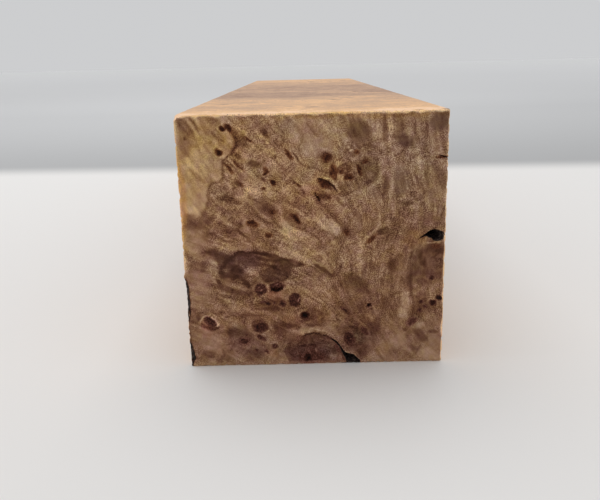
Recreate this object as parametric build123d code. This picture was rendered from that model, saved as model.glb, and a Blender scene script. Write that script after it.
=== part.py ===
from build123d import *
from math import cos, radians, sin
import os

# Spindle turning blank: one squared length of burl, sawn on all six sides. It lies on its lower
# face. X runs across the shown end, Y runs along the blank away from that end, Z points up, and
# the origin is the middle of the lower face. The shown end carries the natural faults of the
# burl: bark pockets that break out through its arrises, a drying check, a chipped corner and the
# open pith of its larger eyes.

# Squared blank
blank_width = 50.8
blank_height = 50.2
blank_length = 254.0
arris_flat = 0.25

# How far a cutter stands proud of the face that it opens
overrun = 2.0

# Chip off the upper left corner of the shown end
chip_across = 1.7
chip_down = 1.1
chip_back = 2.6

# Drying check in the right arris of the shown end
check_height_share = 0.828
check_reach = 1.9
check_gape = 0.45
check_depth = 4.0

# Bark pocket that breaks through the right arris: half a lens whose tip points into the end
side_pocket_height_share = 0.523
side_pocket_reach = 4.9
side_pocket_breakout = 0.2
side_pocket_crest_share = 0.6
side_pocket_rise = 1.25
side_pocket_drop = 0.95
side_pocket_gape_share = 0.8
side_pocket_depth = 9.0
side_pocket_retreat = 2.2
side_pocket_lift = 0.8
side_pocket_floor_share = 0.4

# Large round knot that the lower face cuts in half
knot_across_share = 0.494
knot_radius = 6.45

# Bark pocket that opens along that knot: a thin crack round the rim that flares out at the foot
foot_pocket_tail_angle = 52.0
foot_pocket_neck_angle = 27.0
foot_pocket_knee_angle = 12.0
foot_pocket_crack = 0.28
foot_pocket_knee = 1.2
foot_pocket_flare = 2.5
foot_pocket_lip = 0.8
foot_pocket_depth = 7.0
foot_pocket_floor_share = 0.4

# Bark scoops out of the lower left arris of the shown end
scoop_height_shares = (0.262, 0.040)
scoop_size_shares = (1.0, 0.56)
scoop_height = 7.8
scoop_bite = 0.75
scoop_depth = 1.1
scoop_lean = 2.5

# Open pith of the larger eyes: place across and up the end, and long and short axis
# as shares of the largest pit, with the lean of the long axis in degrees
pit_width = 2.3
pit_depth_share = 0.5
pit_shares = {
    "under_lid": (0.541, 0.736, 1.00, 0.42),
    "slit": (0.512, 0.690, 0.70, 0.22),
    "smile": (0.353, 0.322, 0.98, 0.30),
    "round_knot": (0.455, 0.202, 0.74, 0.72),
    "pin": (0.707, 0.244, 0.34, 0.30),
    "upper_left": (0.154, 0.857, 0.52, 0.40),
    "upper_pair_left": (0.169, 0.946, 0.40, 0.34),
    "upper_pair_right": (0.196, 0.947, 0.56, 0.40),
    "middle": (0.430, 0.598, 0.70, 0.34),
    "right_edge": (0.958, 0.251, 0.46, 0.42),
}
pit_leans = {
    "under_lid": -28.0,
    "slit": -52.0,
    "smile": 8.0,
    "upper_left": -35.0,
    "upper_pair_right": -30.0,
    "middle": -38.0,
}

# Places that several features share
left_face = -blank_width / 2
right_face = blank_width / 2
shown_end = -blank_length / 2
end_plane = Plane((0, shown_end, 0), x_dir=(1, 0, 0), z_dir=(0, -1, 0))


def across(share):
    """A place across the shown end, from the left face."""
    return left_face + share * blank_width


def tapered_pocket(mouth, floor, depth):
    """A cutter from a mouth on the shown end to a smaller floor inside the wood."""
    throat = loft([end_plane * mouth, end_plane.offset(-depth) * floor], ruled=True)
    return throat + extrude(end_plane * mouth, overrun)


def squared_blank():
    """The sawn prism, with every arris eased by handling."""
    prism = Pos(0, 0, blank_height / 2) * Box(blank_width, blank_length, blank_height)
    return chamfer(prism.edges(), arris_flat)


def chip_off_corner(body):
    """Breaks the upper left corner of the shown end away along one plane."""
    on_top_arris = Vector(left_face + chip_across, shown_end, blank_height)
    on_side_arris = Vector(left_face, shown_end, blank_height - chip_down)
    on_long_arris = Vector(left_face, shown_end + chip_back, blank_height)
    outward = (on_long_arris - on_top_arris).cross(on_side_arris - on_top_arris)
    break_plane = Plane(on_top_arris, x_dir=on_side_arris - on_top_arris, z_dir=outward)
    inside = Vector(0, 0, blank_height / 2)
    keep = Keep.TOP if break_plane.to_local_coords(inside).Z > 0 else Keep.BOTTOM
    return split(body, bisect_by=break_plane, keep=keep)


def drying_check():
    """A wedge-shaped crack that runs in from the right arris."""
    height = check_height_share * blank_height
    tip = (right_face - check_reach, height)
    upper = (right_face + overrun, height + check_gape / 2)
    lower = (right_face + overrun, height - check_gape / 2)
    mouth = make_face(Polyline(tip, upper, lower, close=True))
    return extrude(end_plane * mouth, overrun) + extrude(end_plane * mouth, -check_depth)


def side_pocket_section(scale_share):
    """The half lens of the side pocket, drawn back from the right face as it shrinks."""
    lost_share = 1 - scale_share
    height = side_pocket_height_share * blank_height + side_pocket_lift * lost_share
    end = right_face + side_pocket_breakout - side_pocket_retreat * lost_share
    tip = end - (side_pocket_reach + side_pocket_breakout) * scale_share
    crest = tip + (end - tip) * side_pocket_crest_share
    rise = side_pocket_rise * scale_share
    drop = side_pocket_drop * scale_share
    upper = (end, height + rise * side_pocket_gape_share)
    lower = (end, height - drop * side_pocket_gape_share)
    roof = ThreePointArc((tip, height), (crest, height + rise), upper)
    sill = ThreePointArc((tip, height), (crest, height - drop), lower)
    return make_face([roof, Line(upper, lower), sill])


def side_pocket():
    """The bark pocket that breaks through the right arris."""
    floor = side_pocket_section(side_pocket_floor_share)
    return tapered_pocket(side_pocket_section(1), floor, side_pocket_depth)


def on_knot(angle, clear=0):
    """A point on the shown end, on the knot's rim or clear of it."""
    reach = knot_radius + clear
    turned = radians(angle)
    return (across(knot_across_share) + reach * cos(turned), reach * sin(turned))


def foot_pocket_section(scale_share):
    """The gap between the knot's rim and the wood beside it, open at the foot."""
    crack = foot_pocket_crack * scale_share
    bend_angle = (foot_pocket_tail_angle + foot_pocket_neck_angle) / 2
    tail = on_knot(foot_pocket_tail_angle)
    tail_outside = on_knot(foot_pocket_tail_angle, crack)
    neck = on_knot(foot_pocket_neck_angle, crack)
    knee = on_knot(foot_pocket_knee_angle, foot_pocket_knee * scale_share)
    foot = on_knot(0)
    lip = (foot[0] + foot_pocket_flare * scale_share, foot_pocket_lip * scale_share)
    rim = ThreePointArc(tail, on_knot(foot_pocket_knee_angle), foot)
    below = Polyline(foot, (foot[0], -overrun), (lip[0], -overrun), lip)
    flare = ThreePointArc(lip, knee, neck)
    outside = ThreePointArc(neck, on_knot(bend_angle, crack), tail_outside)
    return make_face([rim, *below.edges(), flare, outside, Line(tail_outside, tail)])


def foot_pocket():
    """The bark pocket that opens along the knot and through the lower face."""
    floor = foot_pocket_section(foot_pocket_floor_share)
    return tapered_pocket(foot_pocket_section(1), floor, foot_pocket_depth)


def ellipsoid(long_x, long_y, long_z):
    """A unit ball stretched to three half axes."""
    return scale(Sphere(1), by=(long_x, long_y, long_z))


def arris_scoop(height_share, size_share):
    """A shallow bark scoop that eats away the left arris of the shown end."""
    place = Pos(left_face, shown_end, height_share * blank_height)
    lean = Rot(0, scoop_lean, 0)
    return place * lean * ellipsoid(scoop_bite, scoop_depth, scoop_height * size_share / 2)


def pith_pit(name):
    """The open pith of one eye, as a shallow oval hollow."""
    across_share, up_share, long_share, short_share = pit_shares[name]
    half_long = pit_width * long_share / 2
    half_short = pit_width * short_share / 2
    depth = 2 * half_short * pit_depth_share
    place = Pos(across(across_share), shown_end, up_share * blank_height)
    lean = Rot(0, -pit_leans.get(name, 0), 0)
    return place * lean * ellipsoid(half_long, depth, half_short)


def burl_blank():
    """The whole blank with its faults cut in."""
    blank = chip_off_corner(squared_blank())
    cutters = [drying_check(), side_pocket(), foot_pocket()]
    cutters += [arris_scoop(*pair) for pair in zip(scoop_height_shares, scoop_size_shares)]
    cutters += [pith_pit(name) for name in pit_shares]
    return blank - cutters


os.makedirs("parts", exist_ok=True)
blank = burl_blank()
export_step(blank.solid(), "parts/burl_blank.step")
print("burl_blank", round(blank.volume), "mm3,", len(blank.faces()), "faces")
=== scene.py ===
import itertools
import math

import bpy
import numpy as np
from mathutils import Matrix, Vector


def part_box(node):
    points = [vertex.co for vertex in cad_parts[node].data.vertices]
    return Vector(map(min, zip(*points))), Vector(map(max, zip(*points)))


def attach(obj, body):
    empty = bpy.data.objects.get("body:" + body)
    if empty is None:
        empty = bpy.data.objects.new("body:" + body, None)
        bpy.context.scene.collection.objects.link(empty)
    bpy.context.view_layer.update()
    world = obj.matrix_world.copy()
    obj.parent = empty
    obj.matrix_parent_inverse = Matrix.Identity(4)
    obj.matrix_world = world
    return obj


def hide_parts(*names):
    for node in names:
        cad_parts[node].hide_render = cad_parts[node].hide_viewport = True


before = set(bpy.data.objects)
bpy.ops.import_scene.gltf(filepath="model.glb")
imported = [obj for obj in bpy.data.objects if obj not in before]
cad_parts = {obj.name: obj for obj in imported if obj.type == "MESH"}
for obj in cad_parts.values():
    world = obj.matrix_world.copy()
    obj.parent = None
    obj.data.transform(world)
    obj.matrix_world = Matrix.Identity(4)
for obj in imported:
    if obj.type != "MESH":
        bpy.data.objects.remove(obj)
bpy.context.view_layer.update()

# Squared blank of burl, seen on its shown end. All sizes are in millimetres and become metres
# when a mesh is made. A place on the shown end is (u, v): u from its left edge, v from its foot.
MM = 0.001
node_low, node_high = (np.array(corner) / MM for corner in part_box("burl_blank"))
WIDTH, _, HEIGHT = node_high - node_low
FRONT = node_low[1]

# The figure is drawn on a square a little askew of the real end: its u and v, by 1, u and v there
FIGURE_FIT = np.array([(-0.4489, 1.00803, 0.00435), (-0.4944, 0.00691, 1.00681)])

# Repeatable noise: factors that scatter whole-number points and seeds, and the bits that are kept
SCATTER = (374761393, 668265263, 1274126177)
SEED_SCATTER = 974634777
LONG_BITS = 0xFFFFFFFF
SHORT_BITS = 0xFFFF

# Mesh: cells along each side of the shown end, and distances of the rings behind it
END_CELLS = 248
FINE_RINGS = [0.25 * step for step in range(1, 9)]
MIDDLE_RINGS = [2.6 + 0.9 * step for step in range(14)]
COARSE_RINGS = [17.0 + 6.0 * step for step in range(40)]
SHARP_ANGLE = 40

# Arrises: how far they are eased and how wear varies it, and how the saw tears them at the shown end
ARRIS_EASING = 0.34
ARRIS_WEAR = 0.16
FRAY = 0.26
FRAY_REACH = 0.5
FRAY_FADING = (0.5, 4.0)

# Relief of the shown end: wave left by the saw, margin where it fades, how deep eyes darker than a
# tone are sunk, how far the rims of eyes and pits wander, and how near the end a point is on it
SAW_WAVE = 0.05
SAW_WAVE_MARGIN = 2
EYE_SINK = 0.09
SUNK_EYE_TONE = 70
PIT_WANDER = 0.08
ON_FACE = 0.02

# Chip off the upper left corner of the shown end: across, down and back
CHIP = (1.8, 1.15, 2.6)
CHIP_ROUGH = 0.06

# Bark scoops out of the left arris: height of the middle, half height, bite and depth
ARRIS_SCOOPS = [(14.1, 4.3, 0.72, 1.1), (2.6, 2.6, 0.8, 1.1)]
SCOOP_ROUGH = 0.32

# Bark on the scoops' walls: how far past the wall it reaches, and its soft edge
SCOOP_BARK = 1.1
SCOOP_BARK_FADING = (0.0, 0.25)

# Splinter that stands off the left arris: height of the middle, half height, stand-off, and
# its reach across and back
SPLINTER = (19.1, 0.75, 0.26, 0.4, 0.8)

# Bark pocket at the right arris: outline on the shown end, depth, share of it that the floor has,
# and how far the floor drifts across and up
SIDE_POCKET = [
    (45.7, 25.95), (46.3, 26.35), (46.9, 26.75), (47.5, 27.25), (48.1, 27.55), (48.7, 27.65),
    (49.4, 27.45), (50, 27.25), (50.44, 27), (50.5, 26.3), (50.4, 25.6), (49.8, 25.3), (49, 25.2),
    (48.4, 25.35), (48.1, 25.85), (47.6, 25.9), (47.2, 26.2), (46.7, 26.2), (46.2, 26),
]
SIDE_POCKET_INSIDE = (8.0, 0.35, (-1.6, 0.3))

# Bark pocket beside the large knot: a thin crack round the knot's rim that flares at the foot
FOOT_POCKET = [
    (28.4, 5.25), (29.3, 4.75), (30.05, 3.85), (30.55, 3), (30.95, 2.4), (31.5, 2), (32.2, 1.85),
    (32.9, 1.65), (33.3, 1.2), (33.75, 0.8), (34.1, 0.45), (34.15, -0.12), (31.35, -0.1),
    (31.15, 0.8), (30.75, 1.5), (30.35, 2.3), (30.1, 3.1), (29.85, 3.55), (29.1, 4.45), (28.3, 5.05),
]
FOOT_POCKET_INSIDE = (6.0, 0.35, (0.2, 0.3))

# Drying check in the right arris
DRYING_CHECK = [
    (48.9, 42), (49.6, 41.9), (50.3, 41.66), (51.2, 41.46), (51.2, 41.06), (50.3, 41.42), (49.6, 41.72),
]
DRYING_CHECK_INSIDE = (3.5, 0.3, (-1.2, 0.0))

# How pockets go in: sections as shares of the depth, from in front of the end, and their roughness
POCKET_SECTIONS = [-0.3, 0.0, *np.linspace(0.12, 1, 8)]
POCKET_TAPER = 1.5
POCKET_ROUGH = 0.1

# Bark on the sill below the foot pocket: u, v, half length, half width and lean, and its soft rim
BARK_SILL = (32.75, -0.27, 1.45, 0.4, 0)
BARK_SILL_FADING = (0.8, 1.1)

# Open pith: u, v, half length, half width, lean in degrees, depth
PITS = [
    (27.8, 37.1, 1.15, 0.4, -30, 0.35), (26.1, 34.4, 0.8, 0.22, -55, 0.5),
    (17.8, 16, 1.15, 0.34, 8, 0.6), (23.1, 10.2, 0.85, 0.8, -60, 0.7),
    (36, 12.25, 0.4, 0.36, 0, 0.5), (7.8, 43.1, 0.6, 0.45, -40, 0.35),
    (8.6, 47.5, 0.46, 0.36, -50, 0.3), (9.8, 47.6, 0.64, 0.45, -45, 0.35),
    (21.9, 30, 0.8, 0.38, -42, 0.35), (48.7, 12.6, 0.5, 0.42, -50, 0.4),
    (23.6, 0.9, 0.45, 1.1, 0, 0.4),
]

# Depth behind the shown end to which its figure is kept on the mesh
FIGURE_DEPTH = 2.0

# How faces are sorted: depths in from the shown end and from the sides, how far a normal turns,
# how far pockets reach back, and the soft edge and least share of a pocket's mouth
END_DEPTH = 1.0
MOUTH_DEPTH = 0.9
MOUTH_LIP = 0.08
SIDE_CLEAR = 0.16
END_CLEAR = 0.5
END_TURN = 0.6
MOUTH_TURN = 0.7
POCKET_REACH = 12
MOUTH_SOFT = 0.25
MOUTH_LEAST = 0.02

# Run of the grain over the shown end: u, v and the angle of the fibres in degrees
STRANDS = [
    (3, 47, -50), (5, 40, -70), (2.5, 33, -80), (12, 46, -38), (19, 45, -48), (25, 46, -58),
    (31, 46, -65), (38, 45, -86), (43, 45, -92), (49, 45, -72), (11, 36, -42), (18, 34, -36),
    (24, 32, -38), (30, 34, -48), (37, 34, -72), (45, 35, -66), (4, 27, -15), (11, 27, -32),
    (19, 27, -34), (26, 27, -45), (32, 26, -80), (38, 27, -128), (45, 27, -112), (4, 19, -12),
    (11, 21, -18), (19, 20, -16), (26, 20, -32), (31, 20, -80), (37, 20, -125), (44, 20, -105),
    (49, 19, -95), (4, 12, -28), (12, 12, -25), (20, 13, -15), (27, 13, -55), (33, 13, -70),
    (40, 13, -80), (47, 12, -60), (4, 4, -20), (11, 5, -40), (18, 6, -35), (25, 8.5, 0),
    (31, 6, -55), (38, 6, -60), (45, 5, -45),
]
STRAND_REACH = 5.0
GRAIN_STEP = 0.4
COMB_STEPS = 6

# Grain round an eye: strength, and the place and width of the ring, in half widths of the eye
ROUND_EYE = (0.9, 1.1, 0.6)

# Figures drawn out along the grain: size of the noise, step along the grain, and seed
FIBRE = (0.32, 0.18, 14)
STREAK = (0.9, 0.36, 10)
RIPPLE = (0.36, 0.1, 28)
FOLD = (1.5, 0.6, 26)

# Streaks: how crisp, and how far they calm down right of one u and below one v
STREAK_CRISP = 1.5
STREAK_CALM = 0.6
CALM_ACROSS = (31, 37)
CALM_DOWN = (38, 30)

# Where ripples, dark contours and folds show: size and seed of the noise, none below and all above
RIPPLE_PATCHY = (3.5, 29, -0.4, 0.5)
CONTOUR_PATCHY = (3.0, 15, -0.1, 0.5)
FOLD_PATCHY = (4.0, 27, -0.3, 0.4)

# Lines along the streaks and folds: the value that they follow and their width in it
CONTOUR = (0.0, 0.2)
CREASE = (0.0, 0.12)
FLANK = (0.45, 0.3)

# How far edges wander from what is drawn: reach and size of the noise
WIDE_WANDER = [(0.5, 4.5), (0.25, 1.5)]
NEAR_WANDER = [(0.18, 1.1), (0.12, 0.5)]

# Tones run from 0, black, to 255. The ground is what lies between all the figures.
FULL_TONE = 255
GROUND_TONE = 121
BROAD_TONE = 7
BARK_TONE = 12
BARK_FLECK = 0.1
STREAK_TONE = 8.5
FOLD_TONE = 9
FIBRE_TONE = 9
RIPPLE_TONE = 8
LINE_TONE = 18
MOTTLE_TONE = 9
MOTTLE_FINE = 0.6

# Share of each figure that stays where there is no fleck
STREAK_LEAST = 0.65
FIBRE_LEAST = 0.45
LINE_LEAST = 0.2
FOLD_LEAST = 0.65

# Eyes: raggedness, pale and dark rings round them as strength, place and width, the span of half
# widths that have these, and the softness from which an eye has none
EYE_RAGGED = 0.15
EYE_HALO = (9, 1.45, 0.3)
EYE_HALO_EDGE = (7.2, 2.0, 0.2)
HALO_SPAN = (0.3, 1.6)
HALO_SOFT = 0.5

# Inside an eye: where core turns to rim, tones of its grit, fibres and rings, rings' pace, fleck
EYE_RIM = (0.35, 0.95)
EYE_GRIT = 9
EYE_FIBRE = 5
EYE_RINGS = 8
RING_PACE = 8
RING_WANDER = 3
EYE_FLECK = 0.6

# Hues: spread over the end, and of eyes darker than a tone, below and above two heights
HUE_SPREAD = 0.3
HUE_FADING = (0.5, 1.2)
EYE_DARK = 72
EYE_RED = (0.9, 2.4)
EYE_YELLOW = (-1.5, 2.2)
EYE_HEIGHTS = (17, 26)

# Veins as dark or as pale as these also run over eyes. Glints fade between two shares of their oval.
OVER_EYES = (60, 145)
GLINT_FADING = (0.4, 1.3)

# Strips along the arrises of the shown end. The pale ones at the top and sides are painted highlight
# where the eased arrises catch the light; low on the left arris the strip is dark instead. Width, tone
# and strength of each strip, how uneven, and the heights between which the left strips change from
# dark to pale and the right one changes its tone
LEFT_HIGHLIGHT_WIDE = (1.2, 164, 0.65)
LEFT_HIGHLIGHT_THIN = (0.5, 204, 0.8)
LEFT_DARK = (0.6, 66, 0.7)
TOP_HIGHLIGHT = (0.62, 218, 0.95)
FOOT_PALE = (0.9, 142, 0.6)
RIGHT_HIGHLIGHT = (0.42, (232, 170), 0.9)
STRIP_UNEVEN = 0.5
STRIP_CORE = 0.4
LEFT_CHANGE = (17.5, 21)
RIGHT_CHANGE = (26, 38)

# Sides: tone, tint, the darker band by distances behind the shown end, and the paler strip next to the
# shown end
SIDE_TONE = 215
SIDE_PALE = (1.0, 0.97, 1.1)
HEART_BAND = (34.0, 72.0, 120.0, 260.0)
HEART_BAND_TONE = 31
PALE_NEAR_END = (12.0, 0.4)
PALE_NEAR_END_TONE = 31
PORE_STRETCH = (2.6, 0.5, 2.6)
PORE_SHARE = 0.14

# Burl through the block: shares of swirl, bands, eyes, their rings and pins, and the eyes' wander
SWIRL_SHARE = 0.3
BAND_SHARE = 0.26
EYE_SHARE = 0.26
RING_SHARE = 0.05
PIN_SHARE = 0.17
EYE_WANDER = (4.0, 4.0, 4.0)
FAR_END_CONTRAST = 1.5
FAR_END_SPECKS = 0.4

# Fleck on the shown end: shares of sparkle and specks
SPARKLE_SHARE = 0.27
SPECK_SHARE = 0.13

# What one step towards red or yellow does to green and blue
RED_STEP = (-0.1, -0.04)
YELLOW_STEP = (0.02, -0.14)

# Colours of the wood from dark to pale, as red, green and blue from 0 to 255. Its red is the tone.
WOOD_COLOURS = [
    (10, 3, 1), (40, 16, 6), (60, 32, 18), (72, 42, 27), (84, 52, 36), (93, 61, 43), (104, 71, 50),
    (118, 85, 61), (130, 98, 72), (146, 113, 87), (160, 129, 101), (175, 145, 116), (200, 166, 128),
    (235, 192, 136), (250, 212, 165),
]
END_LIGHT = 0.645
SIDE_LIGHT = 1.0
SPECULAR = 0.12
BARK_DARK = (0.03, 0.018, 0.017, 1.0)
BARK_GREY = (0.15, 0.102, 0.082, 1.0)

# Stage: tones of the floor near and far, where it changes, and the light
FLOOR_NEAR = (0.80, 0.79, 0.78, 1.0)
# Greys of the floor behind the line stand in for the backdrop: darkest at the line as painted shade
# where backdrop and floor meet, and paler further back, where they make up for the lamp's light falling
# off
FLOOR_BEHIND = [
    (0.0, 0.44), (0.15, 0.47), (0.25, 0.50), (0.4, 0.55), (0.55, 0.61), (0.7, 0.76), (0.8, 0.88),
    (0.9, 0.95), (1.0, 1.0),
]
FLOOR_BEHIND_HUE = (0.985, 0.995, 1.01)
BACKGROUND = (0.61, 0.615, 0.625, 1.0)
FLOOR_SIZE = 40.0
FLOOR_LINE = (0.114, 0.159)
FLOOR_LINE_LEAN = 0.07
WORLD_STRENGTH = 0.8
KEY_POWER = 4.0
KEY_SIZE = 0.9
KEY_PLACE = (-0.15, 0.25, 0.85)

# Layout for baking, in pixels of a square image: outward axis and sign, axes across and up,
# left and foot, pixels to the millimetre. The shown end comes first, with the most room.
BAKE_SIDE = 1024
BAKE_CHARTS = [
    (1, -1, 0, 2, 6, 6, 8.0), (2, -1, 1, 0, 420, 6, 2.35), (1, 1, 0, 2, 420, 135, 5.3),
    (2, 1, 1, 0, 8, 416, 3.9), (0, -1, 1, 2, 8, 619, 3.9), (0, 1, 1, 2, 8, 820, 3.9),
]

# Camera: focal length on a sensor 36 millimetres wide, place in metres, and its right and up
LENS = 40.199
SENSOR_WIDTH = 36.0
CLIP_START = 0.01
CAMERA_PLACE = (-0.002038, -0.251738, 0.058841)
CAMERA_RIGHT = (0.999715, -0.001190, -0.023847)
CAMERA_UP = (0.023290, 0.268652, 0.962956)

# Broad soft patches: u, v, half length, half width, lean, tone, strength, softness, share of fine fleck
BROAD_PATCHES = [
    (17, 43, 15, 9, 0, 141, 0.75, 0.6, 1), (31, 47.5, 14, 4.5, 0, 133, 0.6, 0.6, 0.7),
    (28, 24, 9, 5, -60, 132, 0.6, 0.7, 1), (34, 24.6, 1.8, 5, 0, 140, 0.7, 0.5, 1),
    (37, 10, 7, 6, 0, 105, 0.6, 0.6, 0.7), (45, 4, 8.5, 5, 0, 120, 0.7, 0.6, 0.25),
    (8, 4, 10, 5, 0, 117, 0.7, 0.6, 0.35), (46, 21, 5, 5.5, 0, 108, 0.6, 0.6, 0.4),
    (25, 46, 4.2, 3, -60, 150, 0.85, 0.5, 0.4), (29, 48.2, 2.2, 1.4, 0, 146, 0.6, 0.6, 0.6),
    (34.2, 49, 2.2, 0.7, 0, 148, 0.8, 0.5, 0.5),
]

# Areas with a definite edge: tone, strength, softness in millimetres, share of fine fleck, outline
AREAS = [
    # Sapwood
    (157, 0.92, 0.35, 0.4, [
        (-1, 51), (9, 51), (9.9, 47), (10.8, 45.6), (11, 44.6), (10.3, 43.3), (9.1, 42.2), (8.4, 41),
        (8.4, 39.4), (8.3, 37.9), (7.9, 37.4), (6.2, 37.3), (5.7, 36.6), (5.4, 34.8), (5, 32.6),
        (4.2, 31), (2.6, 30.4), (-1, 30.2),
    ]),
    # Dark heart left of the middle: upper left lobe, core, tail, upper band, speckled middle, right body
    (76, 0.92, 0.45, 0.2, [
        (3.8, 23.2), (4.5, 24), (6, 24.2), (7.6, 23.6), (9, 23), (9.9, 23.2), (10.6, 22.8),
        (11.2, 21.6), (10.4, 20.8), (8.6, 20.2), (7.2, 20.2), (6.6, 20.6), (6, 21.2), (5, 21.7),
        (4, 22.3),
    ]),
    (50, 0.92, 0.45, 0.15, [
        (8.9, 20.8), (9.8, 21), (10.8, 20.8), (11.4, 20), (11.3, 18.8), (10.8, 18.1), (9.2, 18),
        (7.6, 18.2), (6.6, 18.9), (6.4, 19.6), (7, 19.9), (7.8, 19.5), (8.6, 19.7),
    ]),
    (62, 0.92, 0.25, 0.2, [
        (10.6, 18.2), (11.4, 18.4), (12.3, 17.3), (12.7, 16.2), (12, 16.1), (11.2, 17),
    ]),
    (65, 0.95, 0.25, 0.2, [
        (9.9, 23.4), (10.6, 23.8), (12, 23.8), (13.6, 23.8), (15.4, 23.6), (17, 23.2), (18.6, 22.6),
        (20.4, 22), (22.4, 21.3), (23.6, 20.6), (22, 20.5), (19.6, 20.9), (17.6, 21.3), (16, 21.6),
        (14.4, 22.2), (13, 22.6), (11, 22.7),
    ]),
    (77, 0.9, 0.3, 0.4, [
        (10.6, 22.7), (12.2, 22.7), (14, 22), (16.4, 21.2), (18, 21.2), (20.4, 20.9), (22.4, 20.6),
        (20.6, 20.2), (17, 20.6), (15, 20.6), (13.6, 20.6), (12.4, 20.4), (11.4, 20.8), (10.7, 21.6),
    ]),
    (70, 0.92, 0.4, 0.4, [
        (14.4, 19.6), (15.4, 20.2), (17, 20.7), (19, 20.8), (20.4, 20.2), (20.9, 19.2), (20.2, 18.2),
        (19.3, 17.3), (17.6, 17.5), (16.2, 17.1), (15.2, 17.6), (14.5, 18.4),
    ]),
    # Leaf to the right of the heart
    (80, 0.95, 0.2, 0.2, [
        (24.8, 21.2), (26, 21.1), (27.6, 20.4), (28.8, 19.4), (29.4, 18.4), (28.4, 18.6), (27, 19.2),
        (25.8, 20),
    ]),
    # Dark wood at the right arris
    (88, 0.86, 1.2, 0.2, [
        (46.4, 24.2), (47.3, 24.8), (49, 24.8), (52, 25), (52, 18.2), (49.4, 17.8), (48, 18.4),
        (46.4, 18.8), (45.2, 18.4), (44.4, 17), (43.6, 16), (43.2, 17.4), (43.6, 19.4), (44.8, 20.8),
        (45.7, 22.6),
    ]),
    # Brown eye and its surroundings beside the foot pocket
    (94, 0.65, 0.7, 0.5, [
        (31, 8), (32.6, 8.4), (34.4, 8.6), (36, 9.6), (38, 9.4), (38.6, 7.8), (38, 5.6), (36.6, 3.8),
        (36.2, 1.6), (34.6, 1), (33.4, 2), (31.8, 2.6), (30.8, 4.2), (30.6, 6.2),
    ]),
    # Large knot at the foot
    (76, 0.95, 0.2, 0.3, [
        (20, -1), (19.3, 1.3), (18.9, 2.4), (19.2, 3.4), (20.1, 4.3), (21.4, 5.3), (22.8, 6),
        (24.2, 6.3), (25.6, 6.2), (27, 5.8), (28.4, 5.1), (29.4, 4.4), (30.1, 3.3), (30.6, 2),
        (31.2, 0.9), (31.7, -1),
    ]),
]

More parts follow.
